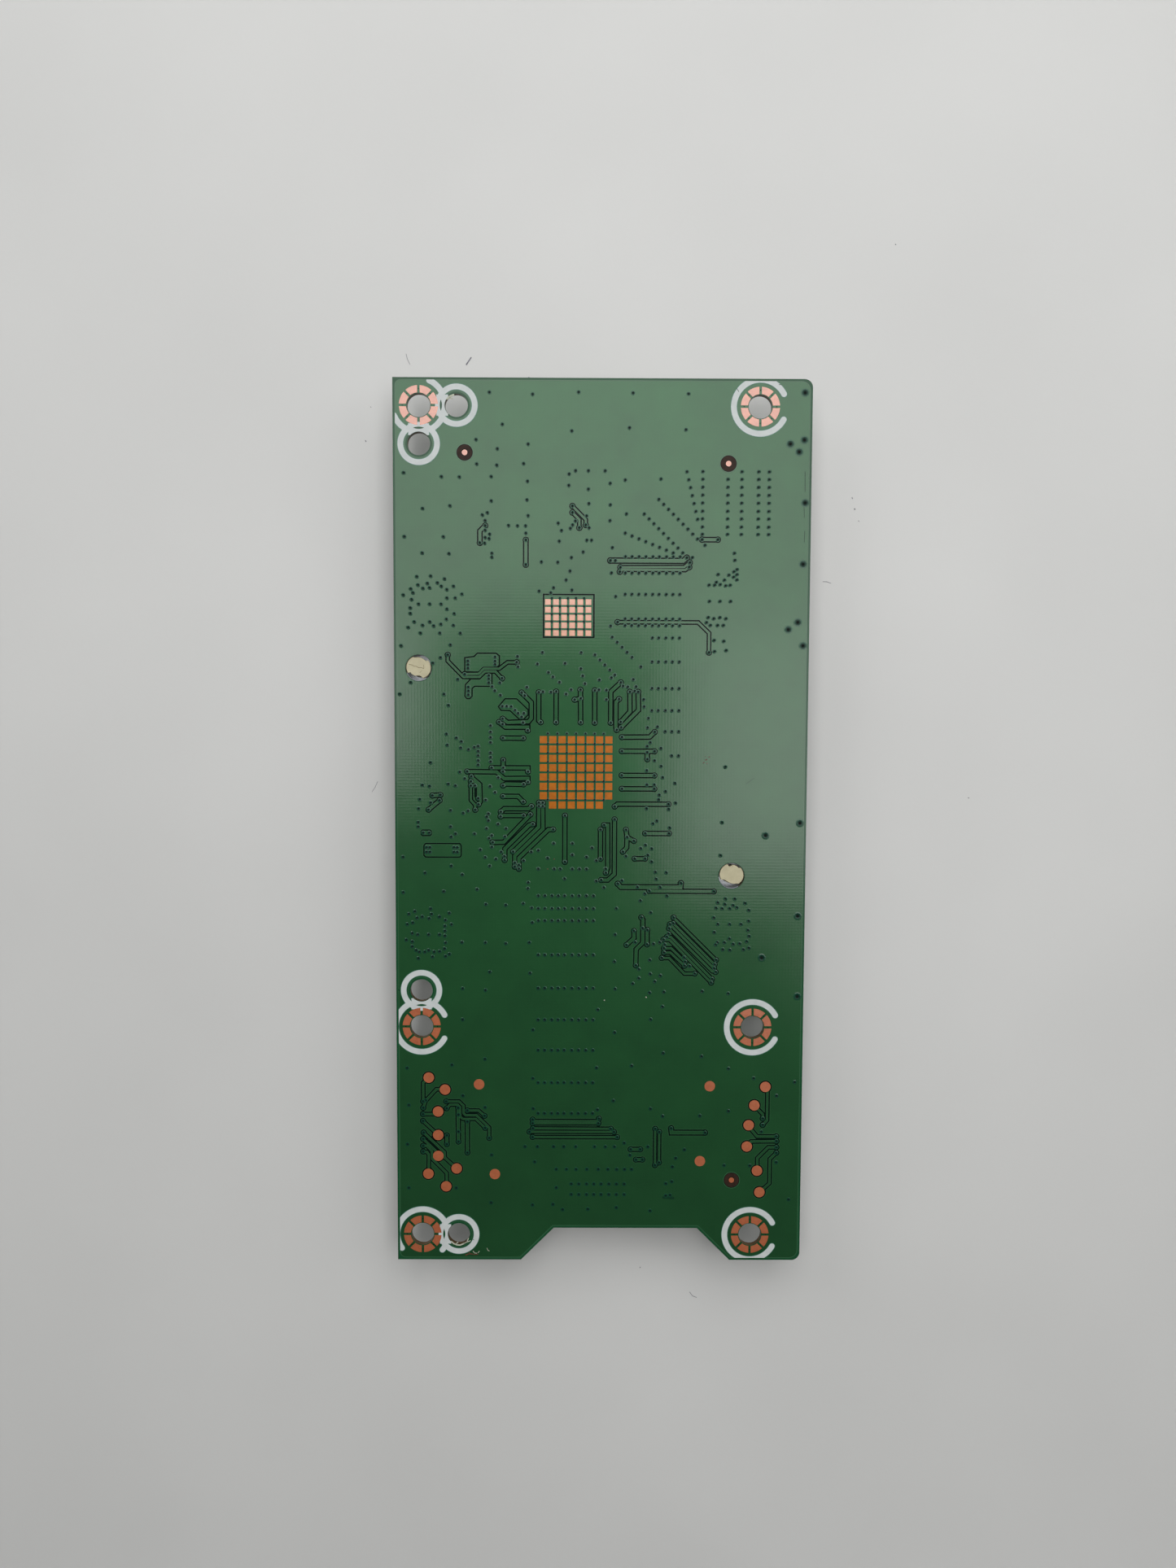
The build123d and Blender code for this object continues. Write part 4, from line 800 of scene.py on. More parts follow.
def clipToPour(bm):
    # Print stops where the pour stops
    for normal, reach in (((1, 0, 0), clipX), ((-1, 0, 0), clipX), ((0, 1, 0), clipY), ((0, -1, 0), clipY)):
        spot = Vector(normal) * reach * mm
        bmesh.ops.bisect_plane(bm, geom=bm.verts[:] + bm.edges[:] + bm.faces[:], plane_co=spot,
                               plane_no=normal, clear_outer=True)
        bmesh.ops.holes_fill(bm, edges=[e for e in bm.edges if e.is_boundary], sides=0)


# Each screw hole's ring: from which angle to which it is printed. It stops at the spare holes beside it
screwRings = [
    ((-32.85, 75.9), 26.5, 66), ((-32.85, 75.9), -63.5, -26.5), ((-32.85, 75.9), -157, -116.5),
    ((28.15, 75.9), 28, 332), ((-32.85, -36.6), 27, 63.5), ((-32.85, -36.6), 116.5, 332),
    ((28.15, -36.6), 28, 332), ((-32.85, -75.9), 26.5, 215), ((-32.85, -75.9), -40, -26.5),
    ((28.15, -75.9), 28, 332),
]
# Each spare hole, the screw hole beside it and the way from one to the other
bridges = [((-26.1, 75.9), (-32.85, 75.9), 0), ((-32.85, 69.15), (-32.85, 75.9), -90),
           ((-32.85, -29.85), (-32.85, -36.6), 90), ((-26.1, -75.9), (-32.85, -75.9), 0)]


def turned(points, centre, angle):
    c, s = cos(radians(angle)), sin(radians(angle))
    return [(centre[0] + x * c - y * s, centre[1] + x * s + y * c) for x, y in points]


def printRings(bm, grow, level):
    size = ringSize
    for centre, start, end in screwRings:
        strip(bm, arc(*centre, size["outer"], start, end, max(4, int(abs(end - start) / 5))),
              size["outerWidth"] + 2 * grow, top, level)
    for spare, screw, way in bridges:
        strip(bm, ring(*spare, size["inner"], size["innerSides"]), size["innerWidth"] + 2 * grow, top,
              level + layers["step"], closed=True)
        gap = hypot(spare[0] - screw[0], spare[1] - screw[1])
        near = holes["spareRadius"] + size["bridgeGap"]
        half, start, turn = size["bridge"] + grow, size["bridgeStart"], size["bridgeBow"]
        bow = arc(gap, 0, near, 180 + turn, 180 - turn, 12)
        block = [(start, -half), (bow[0][0], -half)] + bow + [(bow[-1][0], half), (start, half)]
        filled(bm, [turned(block, screw, way)], top, level + 2 * layers["step"])


# A teal fringe round the print: partly thin ink, partly a painted sheen of the mask's edge beside it
shape = bmesh.new()
printRings(shape, ringSize["bleed"], top + layers["ink"] - ringSize["bleedDrop"])
clipToPour(shape)
finishPiece("print_bleed_and_sheen", "board", shape, [inkShade])

shape = bmesh.new()
printRings(shape, 0.0, top + layers["ink"])
for spare, screw, way in bridges:
    tick = [(reach, 0) for reach in ringSize["tick"]]
    strip(shape, turned(tick, screw, way), ringSize["tickWidth"], top,
          top + layers["ink"] - ringSize["tickDrop"], roundSides=0)
clipToPour(shape)
finishPiece("white_print", "board", shape, [whiteInk])

# Where the print is missing: a lens between the two rings, and scratches
shape = bmesh.new()
gapFace = top + layers["ink"] + ringSize["gapRise"]
for spare, screw, way in bridges:
    half, thick = ringSize["lens"]
    bow = half * half / (2 * thick)
    lens = [(ringSize["lensPlace"] + side * (thick - (py * py) / (2 * bow)), py) for side in (1, -1)
            for py in [side * (half - half * k / 4) for k in range(8)]]
    filled(shape, [turned(lens, screw, way)], top, gapFace)
scratches = [    # in the print, as routes
    [(23.83, 79.15), (24.25, 78.53)], [(31.4, 79.8), (31.9, 79.76)],
    [(-23.5, -76.9), (-23.35, -77.05)], [(-36.95, -29.7), (-36.7, -29.85)],
]
for points in scratches:
    strip(shape, points, ringSize["scratch"], top, gapFace, 2)
finishPiece("print_gaps", "board", shape, [maskOverLaminate])

print("lands")

# Petals round the screw holes: a ring cut by four straight gaps
petalSize = {"inner": 2.22, "outer": 3.5, "gap": 0.46, "via": 2.9, "viaRadius": 0.11}
shape = bmesh.new()
petal = bmesh.new()
edgeVerts = [petal.verts.new((petalSize[key] * mm, 0, 0)) for key in ("inner", "outer")]
edge = petal.edges.new(edgeVerts)
bmesh.ops.spin(petal, geom=[edge, *edgeVerts], cent=(0, 0, 0), axis=(0, 0, 1), dvec=(0, 0, 0),
               angle=pi / 4, steps=8, use_duplicate=False)
for side, angle in ((1, 0), (-1, 45)):
    across = Vector((-sin(radians(angle)), cos(radians(angle)), 0)) * side
    bmesh.ops.bisect_plane(petal, geom=petal.verts[:] + petal.edges[:] + petal.faces[:],
                           plane_co=across * petalSize["gap"] / 2 * mm, plane_no=across,
                           clear_inner=True)
thicken(petal, petal.faces[:], top, landFace)
petalMesh = bpy.data.meshes.new("petal")
bmesh.ops.recalc_face_normals(petal, faces=petal.faces)
petal.to_mesh(petalMesh)
petal.free()
for x, y in holes["screw"]:
    for k in range(8):
        known = len(shape.verts)
        shape.from_mesh(petalMesh)
        shape.verts.ensure_lookup_table()
        place = Matrix.Translation((x * mm, y * mm, 0)) @ Matrix.Rotation(k * pi / 4, 4, "Z")
        bmesh.ops.transform(shape, matrix=place, verts=shape.verts[known:])
finishPiece("screw_hole_petals", "board", shape, [bareCopper], ("screw_lands",))

# A tiny via in each gap between two petals, a dot of painted shade
shape = bmesh.new()
for x, y in holes["screw"]:
    for spot in ring(x, y, petalSize["via"], 8):
        disc(shape, *spot, petalSize["viaRadius"], top, top + layers["rim"], 8)
finishPiece("petal_vias", "board", shape, [viaPlugShade])

shape = bmesh.new()
for x, y in isolatedLands + pouredLands:
    disc(shape, x, y, landSize["testRadius"], top, landFace, landSize["testSides"])
finishPiece("test_points", "board", shape, [bareCopper], ("test_lands",))

# Optical marks: a bare dot in a window through the mask; the dark rings on its sloping edges are painted
# shade
marks = [(-24.65, 67.63), (22.58, 65.87), (24.62, -65.5)]
markSize = {"opening": 1.46, "dot": 0.5, "sides": 40, "dotSides": 28, "slope": 0.1, "slopeRise": 0.002,
            "rim": 0.12, "rimDrop": 0.004}
markShapes = {name: bmesh.new() for name in ("openings", "dots", "slopes", "rims")}
markFace = top + layers["ink"]
for x, y in marks:
    opening, dot, sides = markSize["opening"], markSize["dot"], markSize["sides"]
    slope, rim = markSize["slope"], markSize["rim"]
    disc(markShapes["openings"], x, y, opening, top, markFace, sides)
    disc(markShapes["dots"], x, y, dot, top, landFace, markSize["dotSides"])
    for radius in (opening - slope / 2, dot + slope / 2):
        strip(markShapes["slopes"], ring(x, y, radius, sides), slope, top,
              markFace + markSize["slopeRise"], closed=True)
    # The olive rim round the window: thin mask, with a painted glint
    strip(markShapes["rims"], ring(x, y, opening + rim / 2, sides), rim, top,
          markFace - markSize["rimDrop"], closed=True)
finishPiece("mark_openings", "board", markShapes["openings"], [bareLaminate])
finishPiece("mark_dots", "board", markShapes["dots"], [bareCopper], ("fiducials",))
finishPiece("mark_slope_shade", "board", markShapes["slopes"], [maskInGapsShaded])
finishPiece("mark_rims", "board", markShapes["rims"], [paleMaskAndGlint])

paint("controller_heat_lands", tonedCopper)
paint("power_heat_lands", litPowerCopper)
paint("ground_lands", bareCopper)

print("wear")

# Flux specks, torn mask and scuffs, as short strips: points, width
paleShred = plainMaterial("torn mask and dried flux", "#a9ab97", "#c2c4b4", 0.4, 0.6, 0.1, 0.006, IOR=1.4)
brownSpeck = plainMaterial("browned flux", "#4f2a20", "#6b3a2c", 0.4, 0.45, 0.1, 0.004, IOR=1.4)
darkScuff = maskMaterial("scuffed solder mask", "#0f2f1e", "#143a26", gloss=0.5)[0]
wear = {
    "pale": [
        ([(-27.55, -77.35), (-27.1, -77.75), (-26.5, -78.0), (-25.9, -78.05), (-25.2, -77.75)], 0.22),
        ([(-25.2, -77.75), (-24.6, -77.45), (-23.95, -77.2)], 0.12),
        ([(-24.6, -77.4), (-24.35, -76.75)], 0.16), ([(-26.7, -77.8), (-26.3, -77.5)], 0.14),
        ([(-23.5, -79.2), (-23.2, -79.55), (-22.8, -79.6)], 0.09),
        ([(-22.6, -79.5), (-22.3, -79.2)], 0.08), ([(-20.9, -78.6), (-20.7, -79.05), (-20.45, -79.15)], 0.07),
        ([(-27.75, 77.0), (-27.2, 77.45), (-26.6, 77.7)], 0.34), ([(-27.3, 77.2), (-26.8, 77.05)], 0.2),
        ([(8.45, -31.0), (8.55, -31.05)], 0.16), ([(0.75, -31.6), (0.85, -31.6)], 0.14),
    ],
    "brown": [
        ([(-24.9, -79.95), (-24.2, -79.7), (-23.6, -79.75)], 0.16), ([(-23.4, -79.85), (-22.6, -79.8)], 0.12),
        ([(-24.4, -79.35), (-24.1, -79.5)], 0.1), ([(18.55, 12.2), (18.75, 12.3)], 0.14),
        ([(19.0, 12.75), (19.2, 12.85)], 0.2), ([(19.6, 13.3), (19.75, 13.35)], 0.16),
        ([(19.25, 12.1), (19.3, 12.15)], 0.14), ([(18.9, 13.4), (19.0, 13.4)], 0.1),
        ([(-9.75, -7.3), (-9.6, -7.3)], 0.13), ([(-8.55, -5.5), (-8.45, -5.45)], 0.13),
    ],
    "dark": [
        ([(36.3, 64.5), (36.35, 61.0)], 0.1), ([(36.2, 58.6), (36.3, 56.4)], 0.09),
        ([(36.4, 54.0), (36.35, 52.0)], 0.1), ([(12.0, -68.85), (13.8, -68.95)], 0.5),
        ([(-37.1, -29.7), (-36.9, -29.95)], 0.14), ([(26.4, 8.4), (27.9, 9.5)], 0.06),
    ],
}
wearLooks = {"pale": (paleShred, 0.07), "brown": (brownSpeck, 0.045), "dark": (darkScuff, 0.038)}
wearRoot = 0.02     # how deep a speck is rooted in the mask
for name, (material, height) in wearLooks.items():
    shape = bmesh.new()
    for points, wide in wear[name]:
        strip(shape, points, wide, top - wearRoot, top + height, 3)
    finishPiece(f"{name}_wear", "board", shape, [material])

print("component side")

# The parts' finishes: matt black epoxy, bright tin, dull silicone and ferrite, smooth mouldings and glazes
mouldedEpoxy = plainMaterial("moulded epoxy", "#15161a", "#1d1e22", 2.5, 0.5, 0.09, 0.006, IOR=1.5)
tinnedLead = plainMaterial("tinned lead", "#b9babd", "#cacbce", 1.0, 0.32, 0.2, 0.002, Metallic=1.0)
thermalSilicone = plainMaterial("thermal silicone", "#7e8a94", "#8b97a1", 2.0, 0.8, 0.2, 0.02, IOR=1.45)
springSteel = plainMaterial("spring steel", "#8d9095", "#a2a5aa", 1.0, 0.3, 0.1, 0.002, Metallic=1.0)
socketMoulding = plainMaterial("socket moulding", "#d9d3c3", "#e2dccd", 3.0, 0.45, 0.15, 0.004, IOR=1.5)
leverMoulding = plainMaterial("lever moulding", "#2a2320", "#342b27", 3.0, 0.4, 0.15, 0.004, IOR=1.5)
ferrite = plainMaterial("ferrite", "#303236", "#3b3d42", 1.0, 0.6, 0.12, 0.02, IOR=1.6)
capacitorCeramic = plainMaterial("capacitor ceramic", "#8c6a45", "#9a7650", 1.0, 0.5, 0.1, 0.004, IOR=1.55)
resistorGlaze = plainMaterial("resistor glaze", "#17181b", "#202125", 1.0, 0.3, 0.1, 0.002, IOR=1.5)
fuseCeramic = plainMaterial("fuse ceramic", "#dedbd2", "#e8e5dd", 1.5, 0.4, 0.1, 0.004, IOR=1.6)
sinkLook = {"low": "#a9acb0", "high": "#b7babe", "brush": 0.08, "roughness": 0.38}


def anodisedMaterial():
    # Extruded aluminium, clear anodised: fine die lines along the fins
    material, tree, place = startMaterial("anodised aluminium")
    along = addNode(tree, "Mapping", {"Vector": place, "Scale": (1, 0.02, 1)})
    lines = noise(tree, along.outputs["Vector"], sinkLook["brush"], 2.0)
    shade = blendColours(tree, lines, sinkLook["low"], sinkLook["high"])
    rough = rangeOf(tree, lines, sinkLook["roughness"] * 0.8, sinkLook["roughness"] * 1.2)
    endMaterial(tree, shade, rough, lines, 0.004 * mm, Metallic=1.0)
    return material


nylonLook = {"low": "#afa787", "high": "#beb796", "blotch": 1.6, "grain": 0.2, "depth": 0.006,
             "roughness": 0.42}


def nylonMaterial():
    # Natural nylon, gone cream: a satin moulding with a soft skin
    material, tree, place = startMaterial("cream nylon")
    shade = blendColours(tree, noise(tree, place, nylonLook["blotch"]), nylonLook["low"], nylonLook["high"])
    endMaterial(tree, shade, nylonLook["roughness"], noise(tree, place, nylonLook["grain"]),
                nylonLook["depth"] * mm, IOR=1.53)
    return material


creamNylon = nylonMaterial()
nylonCrackShade = plainMaterial("painted shade in the nylon's cracks", "#6d6142", "#7b6f4c", 0.6, 0.6, 0.1, 0.004, IOR=1.45)
holeWallHighlight = plainMaterial("painted light on a pin hole's wall", "#6d727a", "#868b93", 0.8, 0.35, 0.1, 0.003, IOR=1.5)

# Push pins. The ends' outlines are corners (angle in degrees, radius); wings press on the hole, gaps do not
pinSize = {
    "headLow": 0.6, "headHigh": 1.6, "headRadius": 3.5, "headBevel": 0.5, "shank": 1.5, "step": 0.25,
    "headEdge": 0.1, "recess": 0.15, "soft": 0.08, "rootRadius": 1.5, "waistRadius": 2.1,
    "tipOffsets": [(-0.07, 0.05), (0.05, 0.12)],
    "ends": [
        [(-66, 2.12), (-24, 2.24), (0, 2.24), (38, 2.18), (41, 1.78), (55, 1.75), (75, 1.82), (97, 1.9),
         (112, 1.93), (117, 2.22), (150, 2.24), (180, 2.24), (207, 2.16), (211, 1.72), (230, 1.7),
         (250, 1.62), (262, 1.48), (276, 1.47), (287, 1.68), (291, 2.0)],
        [(-52, 2.08), (-20, 2.2), (10, 2.2), (40, 2.16), (43, 1.84), (60, 1.88), (82, 1.9), (92, 1.68),
         (104, 1.6), (112, 2.2), (140, 2.22), (175, 2.22), (206, 2.1), (211, 1.66), (224, 1.46),
         (240, 1.44), (268, 1.56), (288, 1.72), (303, 1.9)],
    ],
    "creases": [([(-1.8, 0.64), (-1.36, 0.55), (-0.84, 0.29), (-0.51, 0.29), (-0.23, 0.12), (0.06, 0.03),
                  (0.43, 0.03), (0.9, -0.11)], 0.09), ([(0.9, -0.11), (0.88, 0.55)], 0.07),
                ([(0.15, -0.87), (0.58, -0.44)], 0.05)],
    "creaseDepth": 0.05, "creaseRise": 0.004,
    "lip": (2.3, 0.12, 205, 302), "lipHeights": (-0.5, -0.03),
}


def smoothLoop(corners, centre, inset=0.0):
    # Points every few degrees round an outline given as angles and radii
    points = []
    for (a, r), (b, q) in zip(corners, corners[1:] + [(corners[0][0] + 360, corners[0][1])]):
        steps = max(1, int((b - a) / 7))
        for k in range(steps):
            angle, radius = radians(a + (b - a) * k / steps), r + (q - r) * k / steps - inset
            points.append((centre[0] + radius * cos(angle), centre[1] + radius * sin(angle)))
    return points


def atHeight(points, z):
    return [(x, y, z) for x, y in points]


def lofted(bm, rings):
    # Closed outlines of the same point count, in millimetres, joined one to the next into a solid
    part = bmesh.new()
    rows = [[part.verts.new((x * mm, y * mm, z * mm)) for x, y, z in points] for points in rings]
    for low, high in zip(rows, rows[1:]):
        for i in range(len(low)):
            j = (i + 1) % len(low)
            part.faces.new((low[i], low[j], high[j], high[i]))
    part.faces.new(rows[-1])
    part.faces.new(rows[0][::-1])
    join(bm, part)


shape = bmesh.new()
creases = bmesh.new()
lips = bmesh.new()
tip = top - pinSize["recess"]
for (x, y), end, (shiftX, shiftY) in zip(holes["pin"], pinSize["ends"], pinSize["tipOffsets"]):
    head, shank, bevel = pinSize["headRadius"], pinSize["shank"], pinSize["headBevel"]
    low, high, step = pinSize["headLow"], pinSize["headHigh"], boardFaces["under"] - pinSize["step"]
    rounds = [(low, head - bevel), (low + bevel * 0.3, head - bevel * 0.4), (high - bevel * 0.3, head),
              (high, head - pinSize["headEdge"]), (high, shank), (step, shank)]
    lofted(shape, [atHeight(ring(x, y, radius, 36), z) for z, radius in rounds])
    centre = (x + shiftX, y + shiftY)
    soft, root, waist = pinSize["soft"], pinSize["rootRadius"], pinSize["waistRadius"]
    lofted(shape, [
        atHeight(smoothLoop([(a, min(r, root)) for a, r in end], centre), step),
        atHeight(smoothLoop([(a, min(r, waist)) for a, r in end], centre), boardFaces["under"]),
        atHeight(smoothLoop(end, centre), tip - soft), atHeight(smoothLoop(end, centre, soft), tip),
    ])
    # A grey crescent inside each pin's hole, on one side only: painted light on the hole's wall
    radius, wide, first, last = pinSize["lip"]
    lipLow, lipHigh = (top + shift for shift in pinSize["lipHeights"])
    strip(lips, arc(x, y, radius, first, last, 20), wide, lipLow, lipHigh, 3)
# Dark lines on the first pin's end: painted shade in its cracks
for points, wide in pinSize["creases"]:
    x, y = holes["pin"][0]
    strip(creases, [(x + px, y + py) for px, py in points], wide, tip - pinSize["creaseDepth"],
          tip + pinSize["creaseRise"], 2)
finishPiece("nylon_pins", "board", shape, [creamNylon], ("push_pins",))
finishPiece("pin_crack_shade", "board", creases, [nylonCrackShade])
finishPiece("pin_hole_wall_highlights", "board", lips, [holeWallHighlight])

nodeFinishes = {
    mouldedEpoxy: ["controller_body", "power_chip_body", "driver_chip_bodies", "memory_body",
                   "diode_bodies"],
    tinnedLead: ["controller_leads", "memory_leads", "diode_tabs", "inductor_terminals",
                 "large_capacitor_caps", "fuse_caps", "controller_slug", "input_socket_contacts",
                 "input_socket_tabs", "output_socket_contacts", "output_socket_tabs", "crystal_cover"],
    thermalSilicone: ["thermal_pad"], anodisedMaterial(): ["heat_sink"],
    socketMoulding: ["input_socket_housing", "output_socket_housing"],
    leverMoulding: ["input_socket_lever", "output_socket_lever"], ferrite: ["inductor_bodies"],
    capacitorCeramic: ["large_capacitors", "small_capacitors"], resistorGlaze: ["resistors"],
    fuseCeramic: ["fuse_body", "crystal_base"],
}
for material, names in nodeFinishes.items():
    for name in names:
        paint(name, material)


def blocksOf(nodeName):
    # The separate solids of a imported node: the low and the high corner of each, in millimetres
    bm = bmesh.new()
    bm.from_mesh(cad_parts[nodeName].data)
    bmesh.ops.remove_doubles(bm, verts=bm.verts, dist=1e-6)
    seen, blocks = set(), []
    for first in bm.verts:
        if first in seen:
            continue
        seen.add(first)
        waiting, spots = [first], []
        while waiting:
            vertex = waiting.pop()
            spots.append(vertex.co / mm)
            fresh = {e.other_vert(vertex) for e in vertex.link_edges} - seen
            seen |= fresh
            waiting += fresh
        blocks.append(tuple(Vector(pick(s[i] for s in spots) for i in range(3)) for pick in (min, max)))
    bm.free()
    return blocks


def brick(bm, low, high, bevel=0.0):
    # A box between two corners in millimetres, its edges broken
    part = bmesh.new()
    size = high - low
    place = Matrix.Translation((low + high) / 2 * mm) @ Matrix.Diagonal((*(size * mm), 1))
    bmesh.ops.create_cube(part, size=1, matrix=place)
    if bevel:
        bmesh.ops.bevel(part, geom=part.edges[:], offset=bevel * mm, segments=2, profile=0.5, affect="EDGES")
    join(bm, part)


# Plated ends on the small capacitors and the resistors, wrapped a little over the ceramic
capSize = {"small_capacitors": 0.34, "resistors": 0.28, "wrap": 0.02, "bevel": 0.03}
shape = bmesh.new()
for nodeName in ("small_capacitors", "resistors"):
    for low, high in blocksOf(nodeName):
        long = 0 if high.x - low.x > high.y - low.y else 1
        wrap = Vector([capSize["wrap"]] * 3)
        for side in (0, 1):
            a, b = low - wrap, high + wrap
            b.z = boardFaces["under"]
            if side:
                a[long] = high[long] - capSize[nodeName]
            else:
                b[long] = low[long] + capSize[nodeName]
            brick(shape, a, b, capSize["bevel"])
finishPiece("chip_end_caps", "board", shape, [tinnedLead])

# Component side: the pour, the eight pairs from the input socket to the controller and on to the
# output socket, and the outlines printed round the parts
underSize = {
    "pour": 0.02, "pair": 0.03, "ink": 0.05, "pairs": 8, "pairWidth": 0.16, "pairHalf": 0.17, "line": 0.15,
    "printEdge": 0.6, "printEnd": 6.2,
}
under = boardFaces["under"]
shape = bmesh.new()
filled(shape, [pourOutline()] + pourOpenings(), under - underSize["pour"], under)
finishPiece("under_pour", "board", shape, [maskOverCopper])
inputPairs = [
    [(30.6, 43.6 + 3.1 * k), (27.5, 43.6 + 3.1 * k), (12.0 - 0.2 * k, 49.5 + 0.4 * k),
     (4.8 + 1.23 * k, 42.0), (4.8 + 1.23 * k, 34.0 - 1.9 * k), (-11.9 + 2.1 * k, 25.5 - 0.3 * k),
     (-11.9 + 2.1 * k, 21.2)]
    for k in range(underSize["pairs"])
]
outputPairs = [
    [(-10.8 + 1.27 * k, -0.5), (-10.8 + 1.27 * k, -64.5), (-7.0 + 3.1 * k, -67.0), (-7.0 + 3.1 * k, -68.0)]
    for k in range(underSize["pairs"])
]
shape = bmesh.new()
for route in inputPairs + outputPairs:
    for side in (-1, 1):
        shift = side * underSize["pairHalf"]
        strip(shape, [(x + shift, y + shift) for x, y in route], underSize["pairWidth"],
              under - underSize["pair"], under, 3)
finishPiece("under_pairs", "board", shape, [paleMaskAndGlint])
shape = bmesh.new()
# How far each part's printed outline stands off it
outlined = {"controller_body": 1.7, "power_chip_body": 0.5, "driver_chip_bodies": 0.5, "memory_body": 0.2,
            "inductor_bodies": 0.35, "fuse_body": 1.5, "input_socket_housing": 1.4,
            "output_socket_housing": 1.4, "crystal_base": 0.35, "diode_bodies": 0.9}
limitX, limitY = pourSize["half"][0] - underSize["printEdge"], pourSize["half"][1] - underSize["printEnd"]
for nodeName, grow in outlined.items():
    for low, high in blocksOf(nodeName):
        left, right = max(low.x - grow, -limitX), min(high.x + grow, limitX)
        near, far = max(low.y - grow, -limitY), high.y + grow
        corners = [(left, near), (right, near), (right, far), (left, far)]
        strip(shape, corners, underSize["line"], under - underSize["ink"], under, closed=True)
finishPiece("under_print", "board", shape, [whiteInk])

# Springs of round wire on the push pins, their end coils closed
springSize = {"wire": 0.55, "turns": 4.5, "perTurn": 20, "sides": 8, "closedShare": 0.16}
springBoxes = blocksOf("pin_springs")
springLow = min(low.z for low, high in springBoxes)
springHigh = max(high.z for low, high in springBoxes)
springReach = max(high.x for low, high in springBoxes) - holes["pin"][1][0]
shape = bmesh.new()
springSteps = int(springSize["turns"] * springSize["perTurn"])
wire = springSize["wire"] / 2
radius = springReach - wire
closedShare = springSize["closedShare"]     # how much of the wire lies flat at each end
wireAngles = [2 * pi * j / springSize["sides"] for j in range(springSize["sides"])]
for x, y in holes["pin"]:
    rings = []
    for k in range(springSteps + 1):
        share = min(1, max(0, (k / springSteps - closedShare) / (1 - 2 * closedShare)))
        z = springLow + wire + (springHigh - springLow - 2 * wire) * share
        angle = 2 * pi * k / springSize["perTurn"]
        rings.append([(x + (radius + wire * cos(a)) * cos(angle),
                       y + (radius + wire * cos(a)) * sin(angle), z + wire * sin(a)) for a in wireAngles])
    lofted(shape, rings)
finishPiece("round_wire_springs", "board", shape, [springSteel], ("pin_springs",))

print("stage")

stageSize = {"floor": 0.9, "height": 1.3, "bend": 0.35, "bendSteps": 8, "colour": ("#cdcdcb", "#d2d2d0")}


def tableMaterial():
    # Matt white laminate, a little clouded
    material, tree, place = startMaterial("white table")
    shade = blendColours(tree, noise(tree, place, 60.0, 2.0), *stageSize["colour"])
    endMaterial(tree, shade, 0.55, noise(tree, place, 0.6), 0.01 * mm, IOR=1.45)
    return material


shape = bmesh.new()
bmesh.ops.create_circle(shape, cap_ends=True, segments=64, radius=stageSize["floor"])
rim = [e for e in shape.edges if e.is_boundary]
radius = stageSize["floor"]
bendSteps = stageSize["bendSteps"]
for k in range(1, bendSteps + 1):
    angle = pi / 2 * k / bendSteps
    nextRadius = stageSize["floor"] + stageSize["bend"] * sin(angle)
    height = stageSize["bend"] * (1 - cos(angle)) if k < bendSteps else stageSize["height"]
    grown = bmesh.ops.extrude_edge_only(shape, edges=rim)["geom"]
    for vertex in [g for g in grown if isinstance(g, bmesh.types.BMVert)]:
        vertex.co = Vector((vertex.co.x * nextRadius / radius, vertex.co.y * nextRadius / radius, height))
    rim = [g for g in grown if isinstance(g, bmesh.types.BMEdge)]
    radius = nextRadius
stageMesh = bpy.data.meshes.new("table")
shape.to_mesh(stageMesh)
shape.free()
stageMesh.materials.append(tableMaterial())
for face in stageMesh.polygons:
    face.use_smooth = True
table = bpy.data.objects.new("table", stageMesh)
bpy.context.scene.collection.objects.link(table)

# Hairs and specks on the table: points in board millimetres, width
dustSize = {"height": 0.05, "hairs": [
    ([(-25.3, 85.9), (-24.9, 86.5), (-24.4, 87.2)], 0.22),
    ([(-13.7, 83.6), (-13.1, 83.3), (-12.9, 82.9)], 0.24),
    ([(-13.9, 82.6), (-14.2, 82.2)], 0.2), ([(-14.5, 81.9), (-14.7, 81.5)], 0.14),
    ([(-36.5, 87.8), (-36.3, 86.9), (-35.8, 85.9)], 0.07), ([(-34.7, 75.05), (-34.5, 74.9)], 0.2),
    ([(-36.4, 71.6), (-36.2, 71.4)], 0.12), ([(-44.2, 71.9), (-44.1, 71.7)], 0.18),
    ([(-43.5, 6.0), (-42.9, 6.9), (-42.4, 8.0)], 0.07), ([(41.9, 46.1), (42.6, 46.1), (43.4, 45.8)], 0.08),
    ([(47.6, 59.7), (47.7, 59.6)], 0.22), ([(47.1, 61.8), (47.2, 61.6)], 0.14),
    ([(48.4, 57.5), (48.5, 57.4)], 0.12), ([(18.0, -92.2), (18.6, -93.0), (19.4, -93.3)], 0.08),
    ([(8.2, -87.3), (8.3, -87.2)], 0.16), ([(-43.2, 78.1), (-43.1, 78.0)], 0.12),
    ([(54.3, 108.2), (54.4, 108.1)], 0.16), ([(70.4, 5.3), (70.5, 5.2)], 0.16),
]}
shape = bmesh.new()
for points, wide in dustSize["hairs"]:
    strip(shape, points, wide, 0.001, dustSize["height"], 2)
dustMesh = bpy.data.meshes.new("dust")
shape.to_mesh(dustMesh)
shape.free()
dustMesh.materials.append(plainMaterial("dust and hairs", "#6d6c74", "#82818a", 1.0, 0.9, 0.3, 0.01, IOR=1.3))
dust = bpy.data.objects.new("dust", dustMesh)
bpy.context.scene.collection.objects.link(dust)

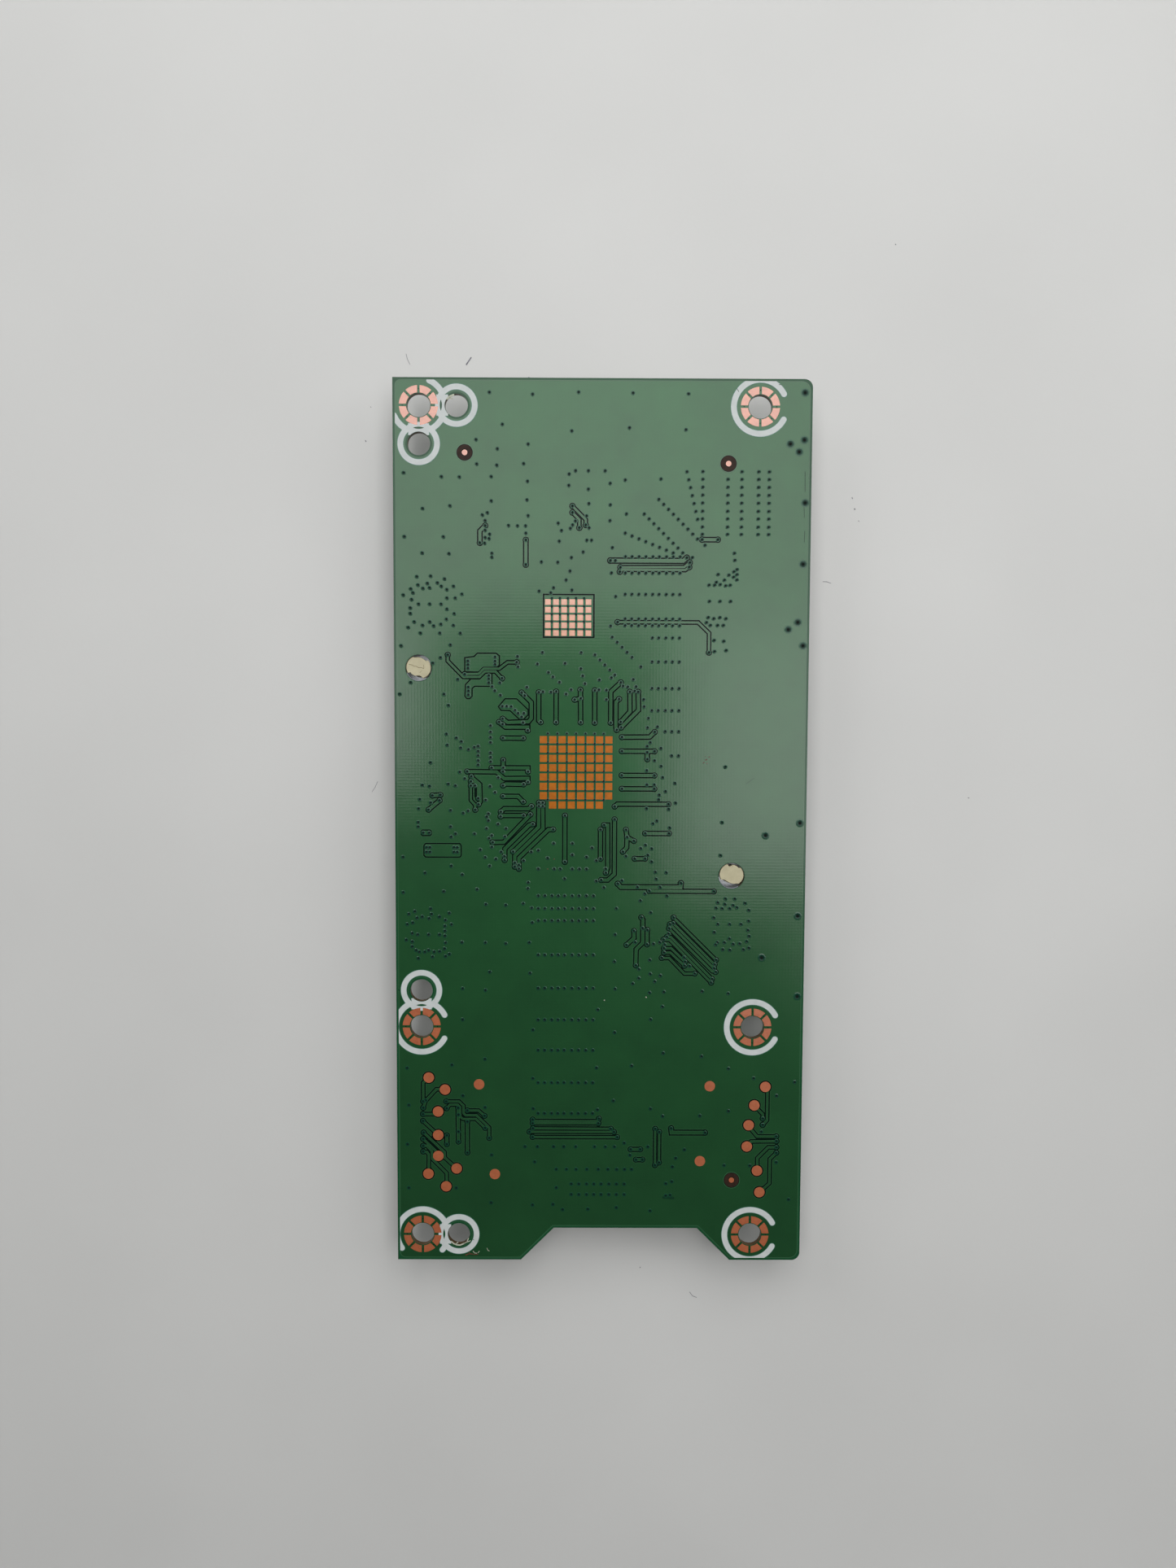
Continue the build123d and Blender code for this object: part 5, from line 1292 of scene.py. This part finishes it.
# Lamps: place, size, watts and where each points, in metres. The ceiling panels lie where the glossy
# mask mirrors them to the camera
lamps = {
    "ceiling over the upper end": {"place": (0.0, 0.279, 0.61), "size": (0.52, 0.402), "power": 1.74},
    "ceiling over the right side": {"place": (0.158, 0.01, 0.61), "size": (0.204, 0.22), "power": 0.48},
    "ceiling over the left edge": {"place": (-0.166, 0.06, 0.61), "size": (0.11, 0.18), "power": 0.23},
    "ceiling over the lower right": {"place": (0.22, -0.14, 0.61), "size": (0.14, 0.08), "power": 0.035},
    "window": {"place": (0.12, 0.6, 0.55), "size": (0.6, 0.35), "power": 1.8, "aim": (0, 0, 0)},
    "left fill": {"place": (-0.6, 0.55, 0.5), "size": (0.4, 0.4), "power": 1.25, "aim": (0, 0, 0)},
    "right fill": {"place": (0.8, 0.25, 0.6), "size": (0.5, 0.5), "power": 1.65, "aim": (0, 0, 0)},
    "front fill": {"place": (0.0, -0.9, 0.6), "size": (0.5, 0.4), "power": 0.1, "aim": (0, 0, 0)},
}
for name, lamp in lamps.items():
    light = bpy.data.lights.new(name, "AREA")
    light.shape = "RECTANGLE"
    light.size, light.size_y = lamp["size"]
    light.energy = lamp["power"]
    holder = bpy.data.objects.new(name, light)
    holder.location = lamp["place"]
    if "aim" in lamp:
        way = Vector(lamp["aim"]) - Vector(lamp["place"])
        holder.rotation_euler = way.to_track_quat("-Z", "Y").to_euler()
    bpy.context.scene.collection.objects.link(holder)

world = bpy.data.worlds.new("room")
bpy.context.scene.world = world
world.use_nodes = True
background = world.node_tree.nodes["Background"]
background.inputs["Color"].default_value = linear("#dfe3e6")
background.inputs["Strength"].default_value = 0.1

# Camera: looks down from just above the board's upper half, as the photo does
cameraSize = {"place": (-3.33, 22.08, 223.99), "turn": (-3.687, -0.244, 0.221), "lens": 27.01}
cameraData = bpy.data.cameras.new("camera")
cameraData.sensor_width = 36
cameraData.lens = cameraSize["lens"]
cameraData.clip_start = 0.01
camera = bpy.data.objects.new("camera", cameraData)
camera.location = Vector(cameraSize["place"]) * mm
camera.rotation_euler = [radians(a) for a in cameraSize["turn"]]
bpy.context.scene.collection.objects.link(camera)
bpy.context.scene.camera = camera
bpy.context.scene.view_settings.view_transform = "Standard"
